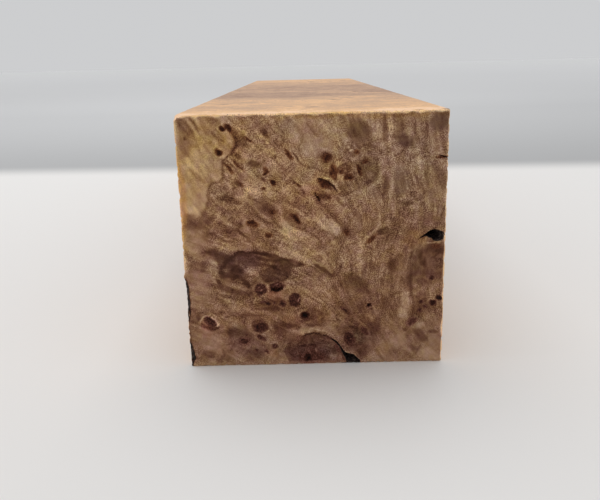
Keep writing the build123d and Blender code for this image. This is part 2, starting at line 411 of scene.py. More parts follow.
# Soft patches, with the same columns as the broad ones
PATCHES = [
    # In the dark wood at the right arris
    (45.7, 20.4, 2.2, 1.1, 70, 84, 0.6, 0.4, 0.2), (43.9, 17.2, 1.8, 0.6, 78, 88, 0.65, 0.4, 0.2),
    (47.2, 17.5, 1.6, 0.7, -30, 117, 0.6, 0.5, 0.2),
    # In the sapwood and below it
    (6.5, 46.6, 4, 2.6, -35, 142, 0.8, 0.4, 0.55), (1.8, 48, 2.6, 1.5, -30, 92, 0.85, 0.5, 0.4),
    (0.9, 46.6, 1.1, 1.4, 0, 133, 0.8, 0.5, 0.3), (1.3, 36.6, 2.6, 0.9, 90, 163, 0.7, 0.5, 0.2),
    (4.2, 47.6, 2.6, 0.4, -58, 170, 0.7, 0.5, 0.3), (2.6, 40.9, 2.2, 0.4, -52, 178, 0.7, 0.5, 0.3),
    (6.4, 45.9, 2, 0.35, -50, 118, 0.6, 0.5, 0.4), (7, 44.6, 1.8, 0.35, -50, 160, 0.6, 0.5, 0.3),
    (5.2, 46.4, 2.2, 0.3, -55, 122, 0.6, 0.5, 0.4), (8.9, 44.6, 1.6, 1.5, 60, 140, 0.75, 0.4, 0.4),
    (6.2, 44.2, 1.4, 1.2, 0, 142, 0.7, 0.5, 0.3), (1.2, 44.3, 2.2, 1.3, 80, 122, 0.8, 0.5, 0.2),
    (3.6, 38.6, 2.4, 0.5, -48, 146, 0.6, 0.5, 0.3), (2.4, 34, 2.6, 2.6, 0, 166, 0.9, 0.4, 0.15),
    (4.4, 30.9, 1.3, 1.4, 0, 100, 0.8, 0.5, 0.4), (1.2, 31.2, 1.2, 0.8, 0, 114, 0.75, 0.5, 0.2),
    (2.4, 29.2, 2.6, 1, 0, 106, 0.8, 0.5, 0.15), (2.2, 26.4, 2.4, 2, 0, 138, 0.85, 0.5, 0.12),
    (1.4, 24.3, 1.5, 1.5, 0, 142, 0.7, 0.5, 0.15), (2.6, 22.6, 0.9, 0.6, 0, 140, 0.6, 0.5, 0.2),
    (2.4, 21.2, 2, 0.4, 3, 92, 0.75, 0.5, 0.2), (2.2, 18.4, 3, 1.9, 0, 124, 0.8, 0.5, 0.12),
    (2.3, 14.5, 2.8, 2.2, 80, 140, 0.85, 0.5, 0.25), (2.4, 6.2, 2.6, 1.7, 0, 130, 0.85, 0.5, 0.12),
    (4.6, 3.9, 2.6, 1.7, 10, 143, 0.8, 0.5, 0.15), (3, 2.1, 1.2, 0.9, 0, 98, 0.7, 0.6, 0.15),
    (1.2, 10.2, 1.2, 1.8, 0, 98, 0.75, 0.5, 0.15),
    # Pale lights in the middle
    (28.2, 28.6, 2.9, 1.3, -32, 164, 0.9, 0.4, 0.9), (21.4, 27.4, 3.4, 1.6, -32, 153, 0.85, 0.5, 0.9),
    (19.6, 29.6, 1.5, 0.8, -45, 152, 0.75, 0.5, 0.5), (21.8, 24, 3.6, 1.4, -15, 152, 0.8, 0.5, 1),
    (15.3, 28.4, 1.8, 0.6, -38, 160, 0.8, 0.45, 0.5), (12.2, 28.9, 2.1, 0.6, -68, 156, 0.8, 0.4, 0.3),
    (8.7, 29.6, 1.3, 0.5, -48, 150, 0.7, 0.4, 0.5), (14.6, 32, 2.6, 0.3, -45, 158, 0.75, 0.5, 0.5),
    (26, 32.2, 2.6, 0.8, -38, 140, 0.6, 0.5, 0.9), (14.6, 36.2, 3, 1.8, -30, 161, 0.9, 0.4, 1.1),
    (9, 36.6, 1.6, 1.2, -40, 164, 0.8, 0.5, 0.9), (9.4, 38.7, 1.6, 1, -50, 152, 0.8, 0.5, 1),
    (13.4, 38.6, 2, 0.9, -42, 158, 0.8, 0.6, 1), (15.6, 43.6, 2.6, 2, -35, 158, 0.75, 0.6, 1.1),
    (19, 43.8, 1.4, 1.2, -50, 122, 0.7, 0.5, 0.9), (7.8, 36, 1.8, 1.2, -30, 142, 0.85, 0.5, 0.9),
    (6.4, 33.7, 1.2, 1.4, 0, 134, 0.7, 0.5, 0.9), (14, 34, 1.6, 0.7, -35, 156, 0.75, 0.5, 0.8),
    (34.2, 28.8, 1.4, 1.2, 0, 138, 0.7, 0.5, 0.9), (36.2, 33.8, 1.5, 1.2, 0, 147, 0.7, 0.5, 0.9),
    (24.4, 27.6, 1.8, 1.1, -40, 106, 0.75, 0.5, 0.8), (18.8, 40.6, 2.6, 1.2, -40, 146, 0.6, 0.6, 1.1),
    (18.9, 38.6, 0.9, 0.9, 0, 110, 0.6, 0.5, 0.9), (12.8, 43.6, 1.8, 0.9, -35, 124, 0.55, 0.5, 0.9),
    (12, 48.9, 3, 0.9, -12, 128, 0.7, 0.5, 0.8), (21.2, 48.9, 1.4, 0.7, 0, 122, 0.6, 0.5, 0.8),
    (8.6, 25.2, 3.4, 0.9, -10, 142, 0.7, 0.5, 0.8), (10.4, 24.5, 2.4, 0.4, -8, 148, 0.6, 0.5, 0.6),
    (20.4, 33.4, 2.4, 1.2, -40, 136, 0.5, 0.6, 1), (24.6, 14.2, 2.8, 2, -50, 140, 0.7, 0.6, 0.9),
    (21.6, 15.7, 1.6, 0.7, -10, 142, 0.65, 0.5, 0.8), (5, 32.4, 0.6, 1.4, -20, 142, 0.5, 0.5, 0.8),
    (24, 37.6, 2.6, 1.8, -20, 147, 0.65, 0.6, 1), (24, 33.6, 1.4, 1, -40, 138, 0.6, 0.5, 1),
    (28.7, 22.4, 2, 0.9, 80, 118, 0.5, 0.6, 0.9), (17, 35, 2.2, 1.2, -40, 136, 0.6, 0.6, 1),
    # Ridges and wedges towards the upper right
    (40.2, 45.4, 3.4, 0.75, 94, 150, 0.85, 0.4, 1.2), (40.6, 40.4, 2.6, 0.5, 88, 146, 0.75, 0.4, 1.1),
    (40.1, 35.8, 3.2, 0.35, 88, 148, 0.75, 0.4, 0.9), (37.4, 46.8, 2.6, 0.7, 88, 142, 0.6, 0.5, 0.8),
    (39.1, 46.8, 2.6, 0.6, 92, 98, 0.8, 0.4, 0.6), (41.9, 47.8, 1.8, 0.7, 92, 104, 0.75, 0.4, 0.3),
    (43.9, 49, 0.9, 0.8, 0, 140, 0.65, 0.5, 0.5), (45.2, 47.3, 2, 0.3, -72, 144, 0.75, 0.4, 0.6),
    (44.7, 47.2, 1.8, 0.2, -74, 92, 0.7, 0.4, 0.4), (46.7, 46.6, 1.5, 0.25, -85, 96, 0.7, 0.4, 0.3),
    (47.4, 45.8, 1.5, 0.3, -62, 140, 0.6, 0.5, 0.5), (42.8, 45, 2, 1.1, -40, 86, 0.85, 0.5, 0.25),
    (44.6, 45, 1.2, 0.7, -20, 102, 0.7, 0.5, 0.3), (48.9, 48.1, 2, 1.7, 80, 96, 0.9, 0.35, 0.12),
    (48.6, 44.2, 1.7, 0.9, -55, 134, 0.6, 0.5, 0.4), (48.6, 36.5, 2.2, 4.4, 0, 114, 0.6, 0.5, 0.3),
    (44, 42.6, 2.2, 1.1, 40, 138, 0.7, 0.5, 1.1), (44.6, 40.2, 2, 2.2, 0, 142, 0.75, 0.5, 1),
    (41.8, 36.8, 2.6, 1.3, -84, 97, 0.85, 0.5, 0.35), (38.9, 36.2, 2.4, 0.5, 84, 96, 0.8, 0.4, 0.35),
    (45.8, 36.6, 2.3, 0.45, -62, 94, 0.8, 0.4, 0.4), (45.1, 36.4, 2.2, 0.25, -62, 144, 0.6, 0.4, 0.6),
    (43.4, 34, 1.2, 0.6, 0, 142, 0.6, 0.5, 1.1), (46, 32.6, 1.6, 1.4, 0, 133, 0.55, 0.5, 0.8),
    (41.2, 31.3, 1.3, 1.1, 0, 134, 0.55, 0.5, 0.9), (33.9, 46.4, 2.5, 1.95, -55, 96, 0.9, 0.35, 0.2),
    (36.4, 44.2, 1.8, 1, 10, 104, 0.5, 0.5, 0.9), (31.2, 36, 1.4, 1.2, 0, 100, 0.6, 0.5, 0.6),
    # In and round the dark heart
    (4.8, 23, 1.3, 0.9, -8, 82, 0.7, 0.5, 0.2), (8.2, 22, 1.5, 0.8, -25, 70, 0.7, 0.5, 0.15),
    (18, 19.8, 1.7, 0.7, -10, 58, 0.8, 0.5, 0.3), (15.2, 18.8, 0.9, 0.9, 0, 100, 0.7, 0.5, 0.8),
    (3, 20.4, 0.6, 1, 0, 92, 0.8, 0.4, 0.3), (6.4, 17.2, 1.3, 0.4, -58, 66, 0.85, 0.35, 0.2),
    (8.2, 17.6, 1, 0.5, 0, 112, 0.7, 0.5, 0.15), (9.8, 15.7, 4, 0.8, -12, 86, 0.8, 0.5, 0.4),
    (12.8, 19.4, 1.3, 0.9, -10, 134, 0.85, 0.4, 1.1), (5.3, 20, 1, 2.1, 8, 140, 0.85, 0.5, 0.9),
    (4.2, 22.4, 0.5, 0.9, 0, 124, 0.6, 0.5, 0.4), (14.3, 22.4, 2.2, 0.22, -22, 134, 0.85, 0.4, 0.3),
    (13.8, 17.6, 1.7, 0.7, -25, 102, 0.75, 0.5, 0.6), (22.6, 18.4, 1.8, 1.2, 0, 122, 0.5, 0.5, 1),
    (16.4, 23.9, 1.6, 0.5, -12, 98, 0.7, 0.5, 0.4), (21.3, 21.5, 0.9, 0.5, -16, 106, 0.6, 0.5, 0.5),
    (10.3, 22, 0.7, 0.25, -80, 108, 0.7, 0.5, 0.3), (11.4, 18.8, 0.8, 1, 0, 78, 0.7, 0.5, 0.4),
    (13.2, 16.6, 0.7, 1, 0, 84, 0.6, 0.5, 0.4), (8.2, 17.7, 0.9, 0.8, 0, 116, 0.8, 0.4, 0.15),
    # Reddish dark wood down the right side
    (49, 23.6, 1.8, 1, 0, 72, 0.8, 0.5, 0.12), (46.8, 22.2, 1.4, 1.5, 20, 82, 0.75, 0.5, 0.12),
    (46, 24.2, 1.6, 0.9, 20, 126, 0.75, 0.5, 0.4), (43.8, 17.9, 2.2, 0.7, -80, 84, 0.7, 0.6, 0.3),
    (47.9, 20.8, 0.6, 0.9, 10, 112, 0.75, 0.4, 0.08), (40.2, 20.4, 1.3, 0.95, 80, 78, 0.85, 0.45, 0.4),
    (41.4, 21.8, 1.2, 0.6, 60, 92, 0.7, 0.5, 0.5), (47, 18.2, 2.8, 1.5, 0, 88, 0.75, 0.5, 0.2),
    (40, 17.4, 2.4, 1.8, 0, 98, 0.75, 0.5, 0.6), (39, 31, 1.6, 1.2, 0, 108, 0.65, 0.5, 0.8),
    (39.2, 26.1, 1.2, 0.9, 0, 106, 0.7, 0.5, 0.6), (31.2, 26, 1.1, 1, 0, 112, 0.7, 0.5, 0.8),
    (40, 24.3, 1.8, 2, 0, 106, 0.6, 0.5, 0.8), (34.6, 6.2, 1, 1.4, 0, 84, 0.7, 0.5, 0.3),
    (29.4, 13.6, 1.2, 1.4, 0, 108, 0.6, 0.5, 0.7), (48, 29.6, 2.4, 1.1, 0, 108, 0.7, 0.5, 0.25),
    (46.8, 12, 2.4, 1.6, 0, 92, 0.75, 0.5, 0.3), (46.3, 14.2, 1.3, 1, 0, 88, 0.7, 0.5, 0.3),
    (42.9, 12.2, 2.8, 1.05, 94, 151, 0.82, 0.45, 0.5), (44.9, 11, 2.6, 0.3, 80, 92, 0.5, 0.4, 0.2),
    (46.4, 8.1, 0.85, 0.8, 0, 142, 0.85, 0.35, 0.12), (49.4, 8.6, 1.4, 1, 0, 116, 0.7, 0.5, 0.15),
    (46.2, 6.1, 1.9, 0.8, -52, 84, 0.8, 0.55, 0.15), (47.3, 5, 0.9, 0.6, 0, 92, 0.6, 0.5, 0.15),
    (49, 6.1, 1.1, 0.45, -20, 80, 0.85, 0.4, 0.15), (45.3, 2.6, 1.5, 0.55, -60, 88, 0.85, 0.4, 0.15),
    (42.6, 4.4, 1.6, 1.2, 80, 142, 0.8, 0.5, 0.12), (49.2, 3.4, 1.6, 1.8, 0, 128, 0.8, 0.4, 0.08),
    (42.2, 0.9, 1.6, 0.6, 0, 118, 0.6, 0.5, 0.12), (39.5, 0.9, 2.2, 0.9, 0, 142, 0.65, 0.5, 0.2),
    (39.8, 3.2, 2, 1.6, 40, 137, 0.7, 0.5, 0.2), (48.2, 1.1, 2.6, 1.2, -20, 160, 0.85, 0.5, 0.1),
    (17.4, 1.2, 2, 1.2, 0, 138, 0.8, 0.5, 0.3), (28.3, 4, 1, 0.8, -40, 106, 0.7, 0.5, 0.3),
    (44, 6.6, 0.6, 1.2, 0, 92, 0.6, 0.5, 0.2),
    # Brown wood below the middle
    (38.7, 12.4, 1.3, 0.8, 100, 84, 0.75, 0.5, 0.4), (36.8, 7.4, 1.2, 1.6, -20, 76, 0.75, 0.5, 0.3),
    (33.2, 16.7, 3, 1.8, -20, 79, 0.8, 0.4, 0.4), (34.4, 19.2, 1, 0.8, 0, 126, 0.7, 0.5, 0.8),
    (36.2, 20.2, 1.4, 0.7, -10, 88, 0.65, 0.5, 0.6), (39.6, 14.6, 1.6, 0.4, -60, 92, 0.6, 0.5, 0.5),
    (38.8, 17.8, 1.4, 0.5, -10, 88, 0.7, 0.5, 0.5), (36.2, 16.6, 1, 0.6, 40, 130, 0.6, 0.5, 0.9),
    (29.5, 15.8, 1, 0.9, 0, 90, 0.65, 0.5, 0.5), (34.8, 2.6, 1.4, 1.6, 0, 78, 0.7, 0.5, 0.2),
    (33.2, 10.4, 2.8, 3, 0, 92, 0.7, 0.6, 0.7), (36.4, 9.8, 1.2, 0.6, -30, 134, 0.6, 0.5, 0.6),
    (27.6, 9, 0.9, 2, -20, 140, 0.75, 0.45, 0.4), (25.8, 7.15, 3.2, 0.6, -6, 156, 0.85, 0.4, 0.4),
    (22.5, 7.4, 2.6, 0.4, 18, 134, 0.7, 0.45, 0.4), (20.6, 6.3, 1.2, 0.7, 20, 110, 0.75, 0.5, 0.3),
    (28.9, 6.9, 1.7, 0.6, -42, 138, 0.75, 0.45, 0.4), (28.2, 13.4, 2.4, 0.4, -80, 132, 0.5, 0.6, 0.7),
    (30.6, 7.4, 1.6, 1, 80, 108, 0.6, 0.5, 0.3), (36.2, 4.4, 1.2, 1.2, 0, 116, 0.6, 0.5, 0.2),
    # Lower left, between the eyes
    (8.2, 6.3, 0.9, 1, 0, 78, 0.8, 0.5, 0.3), (10.2, 6.6, 1.9, 1.2, -30, 88, 0.8, 0.5, 0.3),
    (8.8, 8.9, 1.3, 1, 0, 136, 0.6, 0.5, 0.8), (7.2, 2.2, 1.4, 0.9, -65, 102, 0.75, 0.5, 0.2),
    (12.4, 2.2, 1.8, 1.4, 20, 88, 0.75, 0.5, 0.35), (18.3, 7.5, 1.6, 1.2, -50, 96, 0.7, 0.5, 0.4),
    (19.9, 8.2, 1.5, 0.35, 0, 82, 0.7, 0.4, 0.4), (21.6, 9, 1.2, 0.9, 0, 98, 0.6, 0.5, 0.4),
    (17.4, 12.9, 3.4, 0.9, -5, 84, 0.85, 0.4, 0.35), (15.8, 11.8, 2.8, 0.4, -5, 80, 0.8, 0.4, 0.3),
    (11.6, 10.3, 1.3, 0.6, 0, 84, 0.8, 0.45, 0.3), (17.6, 3.6, 2, 1.8, -40, 108, 0.6, 0.6, 0.4),
    (18.2, 10.6, 2.9, 0.6, 0, 128, 0.7, 0.45, 0.4), (17.8, 14.6, 2, 0.5, 5, 136, 0.7, 0.45, 0.4),
    (13.3, 10, 1, 0.8, 0, 100, 0.6, 0.5, 0.2), (8.6, 2.2, 0.6, 0.9, 0, 128, 0.6, 0.5, 0.15),
    (4.6, 11.6, 1.9, 0.6, -15, 96, 0.75, 0.5, 0.4), (12.9, 4.4, 0.3, 1.2, 10, 130, 0.6, 0.5, 0.3),
    (6.6, 12.6, 2.2, 0.9, 0, 112, 0.5, 0.6, 0.7), (9.9, 33.7, 2.2, 0.6, -18, 80, 0.7, 0.5, 0.7),
    (11.9, 45.2, 1.7, 1.1, -75, 93, 0.8, 0.5, 0.7),
]

# Eyes: u, v, half length, half width, lean, tone of the core, tone of the rim, softness
EYES = [
    # Upper left
    (7.75, 43.1, 0.85, 0.6, -40, 48, 67, 0.35), (8.6, 47.45, 0.68, 0.46, -55, 46, 59, 0.3),
    (9.9, 47.5, 1.05, 0.6, -50, 44, 59, 0.3), (10.9, 46.8, 0.8, 0.45, -50, 84, 93, 0.5),
    (8.4, 45.3, 0.6, 0.14, -42, 72, 89, 0.5), (1.75, 45.8, 0.5, 0.25, -55, 88, 101, 0.5),
    (16.5, 46.5, 0.95, 0.6, -48, 80, 95, 0.5), (13.6, 45.3, 0.9, 0.28, -40, 68, 87, 0.45),
    (9.6, 40.2, 1.1, 0.24, -50, 66, 85, 0.5), (9.7, 39.6, 0.8, 0.2, -45, 68, 89, 0.5),
    (10, 40.9, 1, 0.18, -50, 84, 97, 0.5), (11.3, 40.5, 1.5, 0.22, -50, 68, 89, 0.5),
    (11.4, 42.3, 0.9, 0.5, -38, 86, 103, 0.5), (11.2, 37, 1, 0.65, -40, 80, 103, 0.5),
    (11.4, 37, 0.7, 0.2, -40, 68, 83, 0.5), (14.4, 40.8, 1.8, 0.8, -15, 94, 109, 0.6),
    (16.6, 39.5, 0.65, 0.45, -50, 60, 77, 0.45), (16.5, 38.8, 0.4, 0.36, 0, 50, 65, 0.45),
    (15.9, 37.8, 0.45, 0.25, -40, 72, 89, 0.45), (15.9, 36.1, 0.35, 0.28, -40, 70, 85, 0.45),
    (17.75, 37.25, 0.8, 0.4, -55, 42, 59, 0.35), (14.8, 38.6, 0.5, 0.16, -45, 88, 105, 0.5),
    (20.95, 42.5, 1.25, 0.42, -58, 64, 79, 0.45), (22.2, 41.9, 1.5, 0.24, -62, 78, 93, 0.45),
    # Upper middle
    (28.1, 41.8, 1.5, 1.3, -30, 86, 109, 0.6), (28.1, 41.75, 0.8, 0.7, 30, 54, 73, 0.5),
    (29.35, 39.1, 1.5, 0.82, -86, 64, 71, 0.25), (29.5, 37.7, 0.7, 0.5, -80, 90, 103, 0.5),
    (31.3, 39.5, 1.15, 1.1, 0, 106, 78, 0.35), (32.1, 37.95, 0.75, 0.65, 0, 54, 69, 0.35),
    (30.7, 39, 0.7, 0.22, 80, 64, 75, 0.5), (33.1, 43.2, 1.4, 1.3, 0, 122, 96, 0.4),
    (33.7, 42.8, 0.5, 0.4, 0, 70, 85, 0.5), (35.8, 39.2, 2.5, 1.8, -78, 106, 92, 0.35),
    (34.15, 39.3, 1.1, 0.36, -75, 48, 63, 0.4), (34.9, 39.5, 0.8, 0.4, 80, 106, 98, 0.5),
    (35.2, 40.9, 0.5, 0.3, 20, 66, 80, 0.5), (35.9, 36.9, 0.7, 0.4, 10, 78, 91, 0.5),
    (27.55, 36.75, 1.25, 0.68, -28, 60, 63, 0.3), (28.4, 36, 0.7, 0.3, -30, 80, 87, 0.5),
    (27, 34.4, 1.2, 0.65, -30, 76, 89, 0.5), (28.2, 34.3, 0.5, 0.22, -20, 68, 81, 0.5),
    (22.65, 36.6, 0.6, 0.26, -45, 64, 81, 0.45), (23.6, 35.3, 0.6, 0.2, -62, 72, 87, 0.5),
    (21.9, 37.2, 0.35, 0.2, -45, 72, 87, 0.5), (24.3, 33.4, 0.5, 0.2, -40, 76, 89, 0.5),
    (18.3, 42.2, 0.4, 0.3, -45, 84, 97, 0.5),
    # Middle
    (21.7, 29.95, 2.5, 1.15, -42, 98, 106, 0.35), (21.95, 30, 1.3, 0.52, -42, 48, 63, 0.4),
    (13.7, 29.3, 1.2, 0.75, -5, 68, 83, 0.4), (13.4, 29.7, 0.95, 0.32, 5, 46, 61, 0.4),
    (16.6, 26.9, 0.75, 0.5, 0, 64, 79, 0.5), (16.4, 26.6, 0.5, 0.4, 0, 58, 73, 0.5),
    (16.4, 32.2, 2.4, 1.3, -32, 90, 103, 0.5), (17.5, 31.4, 0.6, 0.42, 0, 62, 77, 0.5),
    (8.6, 27.8, 1.4, 0.8, -20, 92, 109, 0.6), (11.2, 27.4, 1.5, 0.3, -38, 74, 89, 0.5),
    (5.6, 27.3, 0.9, 0.5, -10, 82, 97, 0.6), (31.6, 27.6, 1.6, 0.8, -62, 84, 101, 0.6),
    (31.7, 27.2, 0.6, 0.35, -60, 70, 85, 0.6), (30.35, 20.2, 0.7, 0.35, 80, 82, 95, 0.5),
    (36.4, 25.9, 1.3, 0.45, 42, 70, 81, 0.35), (38.5, 27.35, 1.2, 0.62, 18, 74, 86, 0.45),
    (39.6, 27.2, 1, 0.4, -10, 96, 105, 0.5), (43.5, 32.8, 1.3, 0.45, -10, 78, 93, 0.5),
    # Dark at the drying check: painted shade inside the crack.
    (49.6, 41.55, 0.8, 0.26, -6, 54, 71, 0.5),
    # Below the dark heart
    (17.8, 16.6, 1.35, 0.75, 0, 64, 54, 0.35), (14.5, 16, 1.15, 1.1, 0, 62, 42, 0.3),
    (21.2, 13.65, 1.1, 1.25, 0, 66, 46, 0.25), (21.2, 12.7, 0.8, 0.3, 10, 44, 54, 0.5),
    (18.7, 12.8, 0.65, 0.55, 0, 56, 70, 0.45), (15.8, 12.95, 0.6, 0.4, -20, 40, 60, 0.45),
    (14.8, 13.2, 0.5, 0.3, 0, 66, 78, 0.5), (17, 12.9, 0.3, 0.3, 0, 60, 70, 0.4),
    (25, 10, 2.4, 1.8, -8, 100, 92, 0.32), (23.8, 10.2, 1.5, 1.1, -10, 78, 96, 0.5),
    (23.15, 10.15, 0.95, 0.85, -60, 14, 44, 0.45), (31.6, 11, 1.1, 0.6, -40, 72, 94, 0.5),
    (31, 11.4, 0.7, 0.25, -45, 52, 72, 0.5), (36, 12.3, 0.46, 0.42, 0, 18, 44, 0.45),
    # Right side
    (46.4, 12.75, 0.5, 0.42, 0, 46, 66, 0.45), (48.7, 12.6, 0.75, 0.55, -30, 40, 60, 0.45),
    (49.8, 13.5, 0.65, 0.5, 0, 32, 50, 0.45), (47.2, 11.8, 0.4, 0.3, 0, 64, 78, 0.5),
    (45.9, 11, 0.45, 0.4, 0, 66, 80, 0.5), (48.4, 17.8, 0.5, 0.42, 0, 52, 70, 0.4),
    (49.8, 20.6, 0.9, 1, 0, 94, 74, 0.35), (49, 24, 0.9, 0.5, -10, 70, 83, 0.5),
    (44.4, 8.6, 1.15, 0.75, 40, 70, 88, 0.5), (43.2, 7, 0.5, 0.5, 0, 82, 94, 0.5),
    # Lower left
    (3.8, 9.4, 2.2, 1.4, -32, 132, 82, 0.25), (4.2, 9.35, 1.45, 0.88, -35, 46, 60, 0.3),
    (14, 8, 1.6, 1.3, -15, 80, 66, 0.35), (14, 7.8, 1.35, 0.85, -5, 48, 54, 0.35),
    (14.2, 5.7, 1, 0.5, -38, 58, 70, 0.4), (10.6, 4.9, 1.2, 0.85, 0, 54, 72, 0.5),
    (16.8, 3.8, 0.65, 0.58, 0, 70, 52, 0.4), (15.1, 2.6, 0.6, 0.4, -60, 64, 76, 0.5),
    (13.1, 2.9, 0.4, 0.35, 0, 60, 74, 0.5), (11.25, 6.2, 0.3, 0.22, 0, 46, 66, 0.45),
    # Foot
    (24.4, 0.9, 2, 2.2, 0, 62, 70, 0.4), (21.3, 2.4, 1.6, 2.1, 10, 84, 76, 0.35),
    (26.3, 4.7, 1.9, 0.8, -15, 88, 80, 0.4), (27.4, 2.2, 1.4, 1, -20, 76, 84, 0.4),
    (28.7, 1.1, 1.1, 0.75, 20, 120, 104, 0.4), (30.1, 1, 0.6, 0.9, 20, 116, 104, 0.5),
    (26.2, 1.2, 0.7, 0.9, 0, 66, 76, 0.5), (29.7, 3.1, 0.4, 0.9, 30, 66, 78, 0.5),
    (23.5, 1, 0.6, 1.25, 0, 22, 40, 0.35), (22.6, 3.75, 0.75, 0.3, 0, 50, 60, 0.35),
    (24.6, 3.7, 0.8, 0.32, -10, 48, 58, 0.35), (25.25, 2.9, 0.17, 0.55, 0, 128, 108, 0.4),
    (21.2, 4.9, 1.5, 0.6, 35, 98, 90, 0.5), (22, 1.3, 0.3, 0.9, 0, 64, 74, 0.5),
    (32.7, 5.5, 1.9, 2.1, 10, 88, 66, 0.3), (32, 5.2, 0.9, 1.25, 15, 40, 58, 0.4),
    (35, 6.8, 0.95, 0.6, -60, 50, 66, 0.4), (32.85, 0, 1.3, 0.5, 0, 12, 14, 0.2),
]

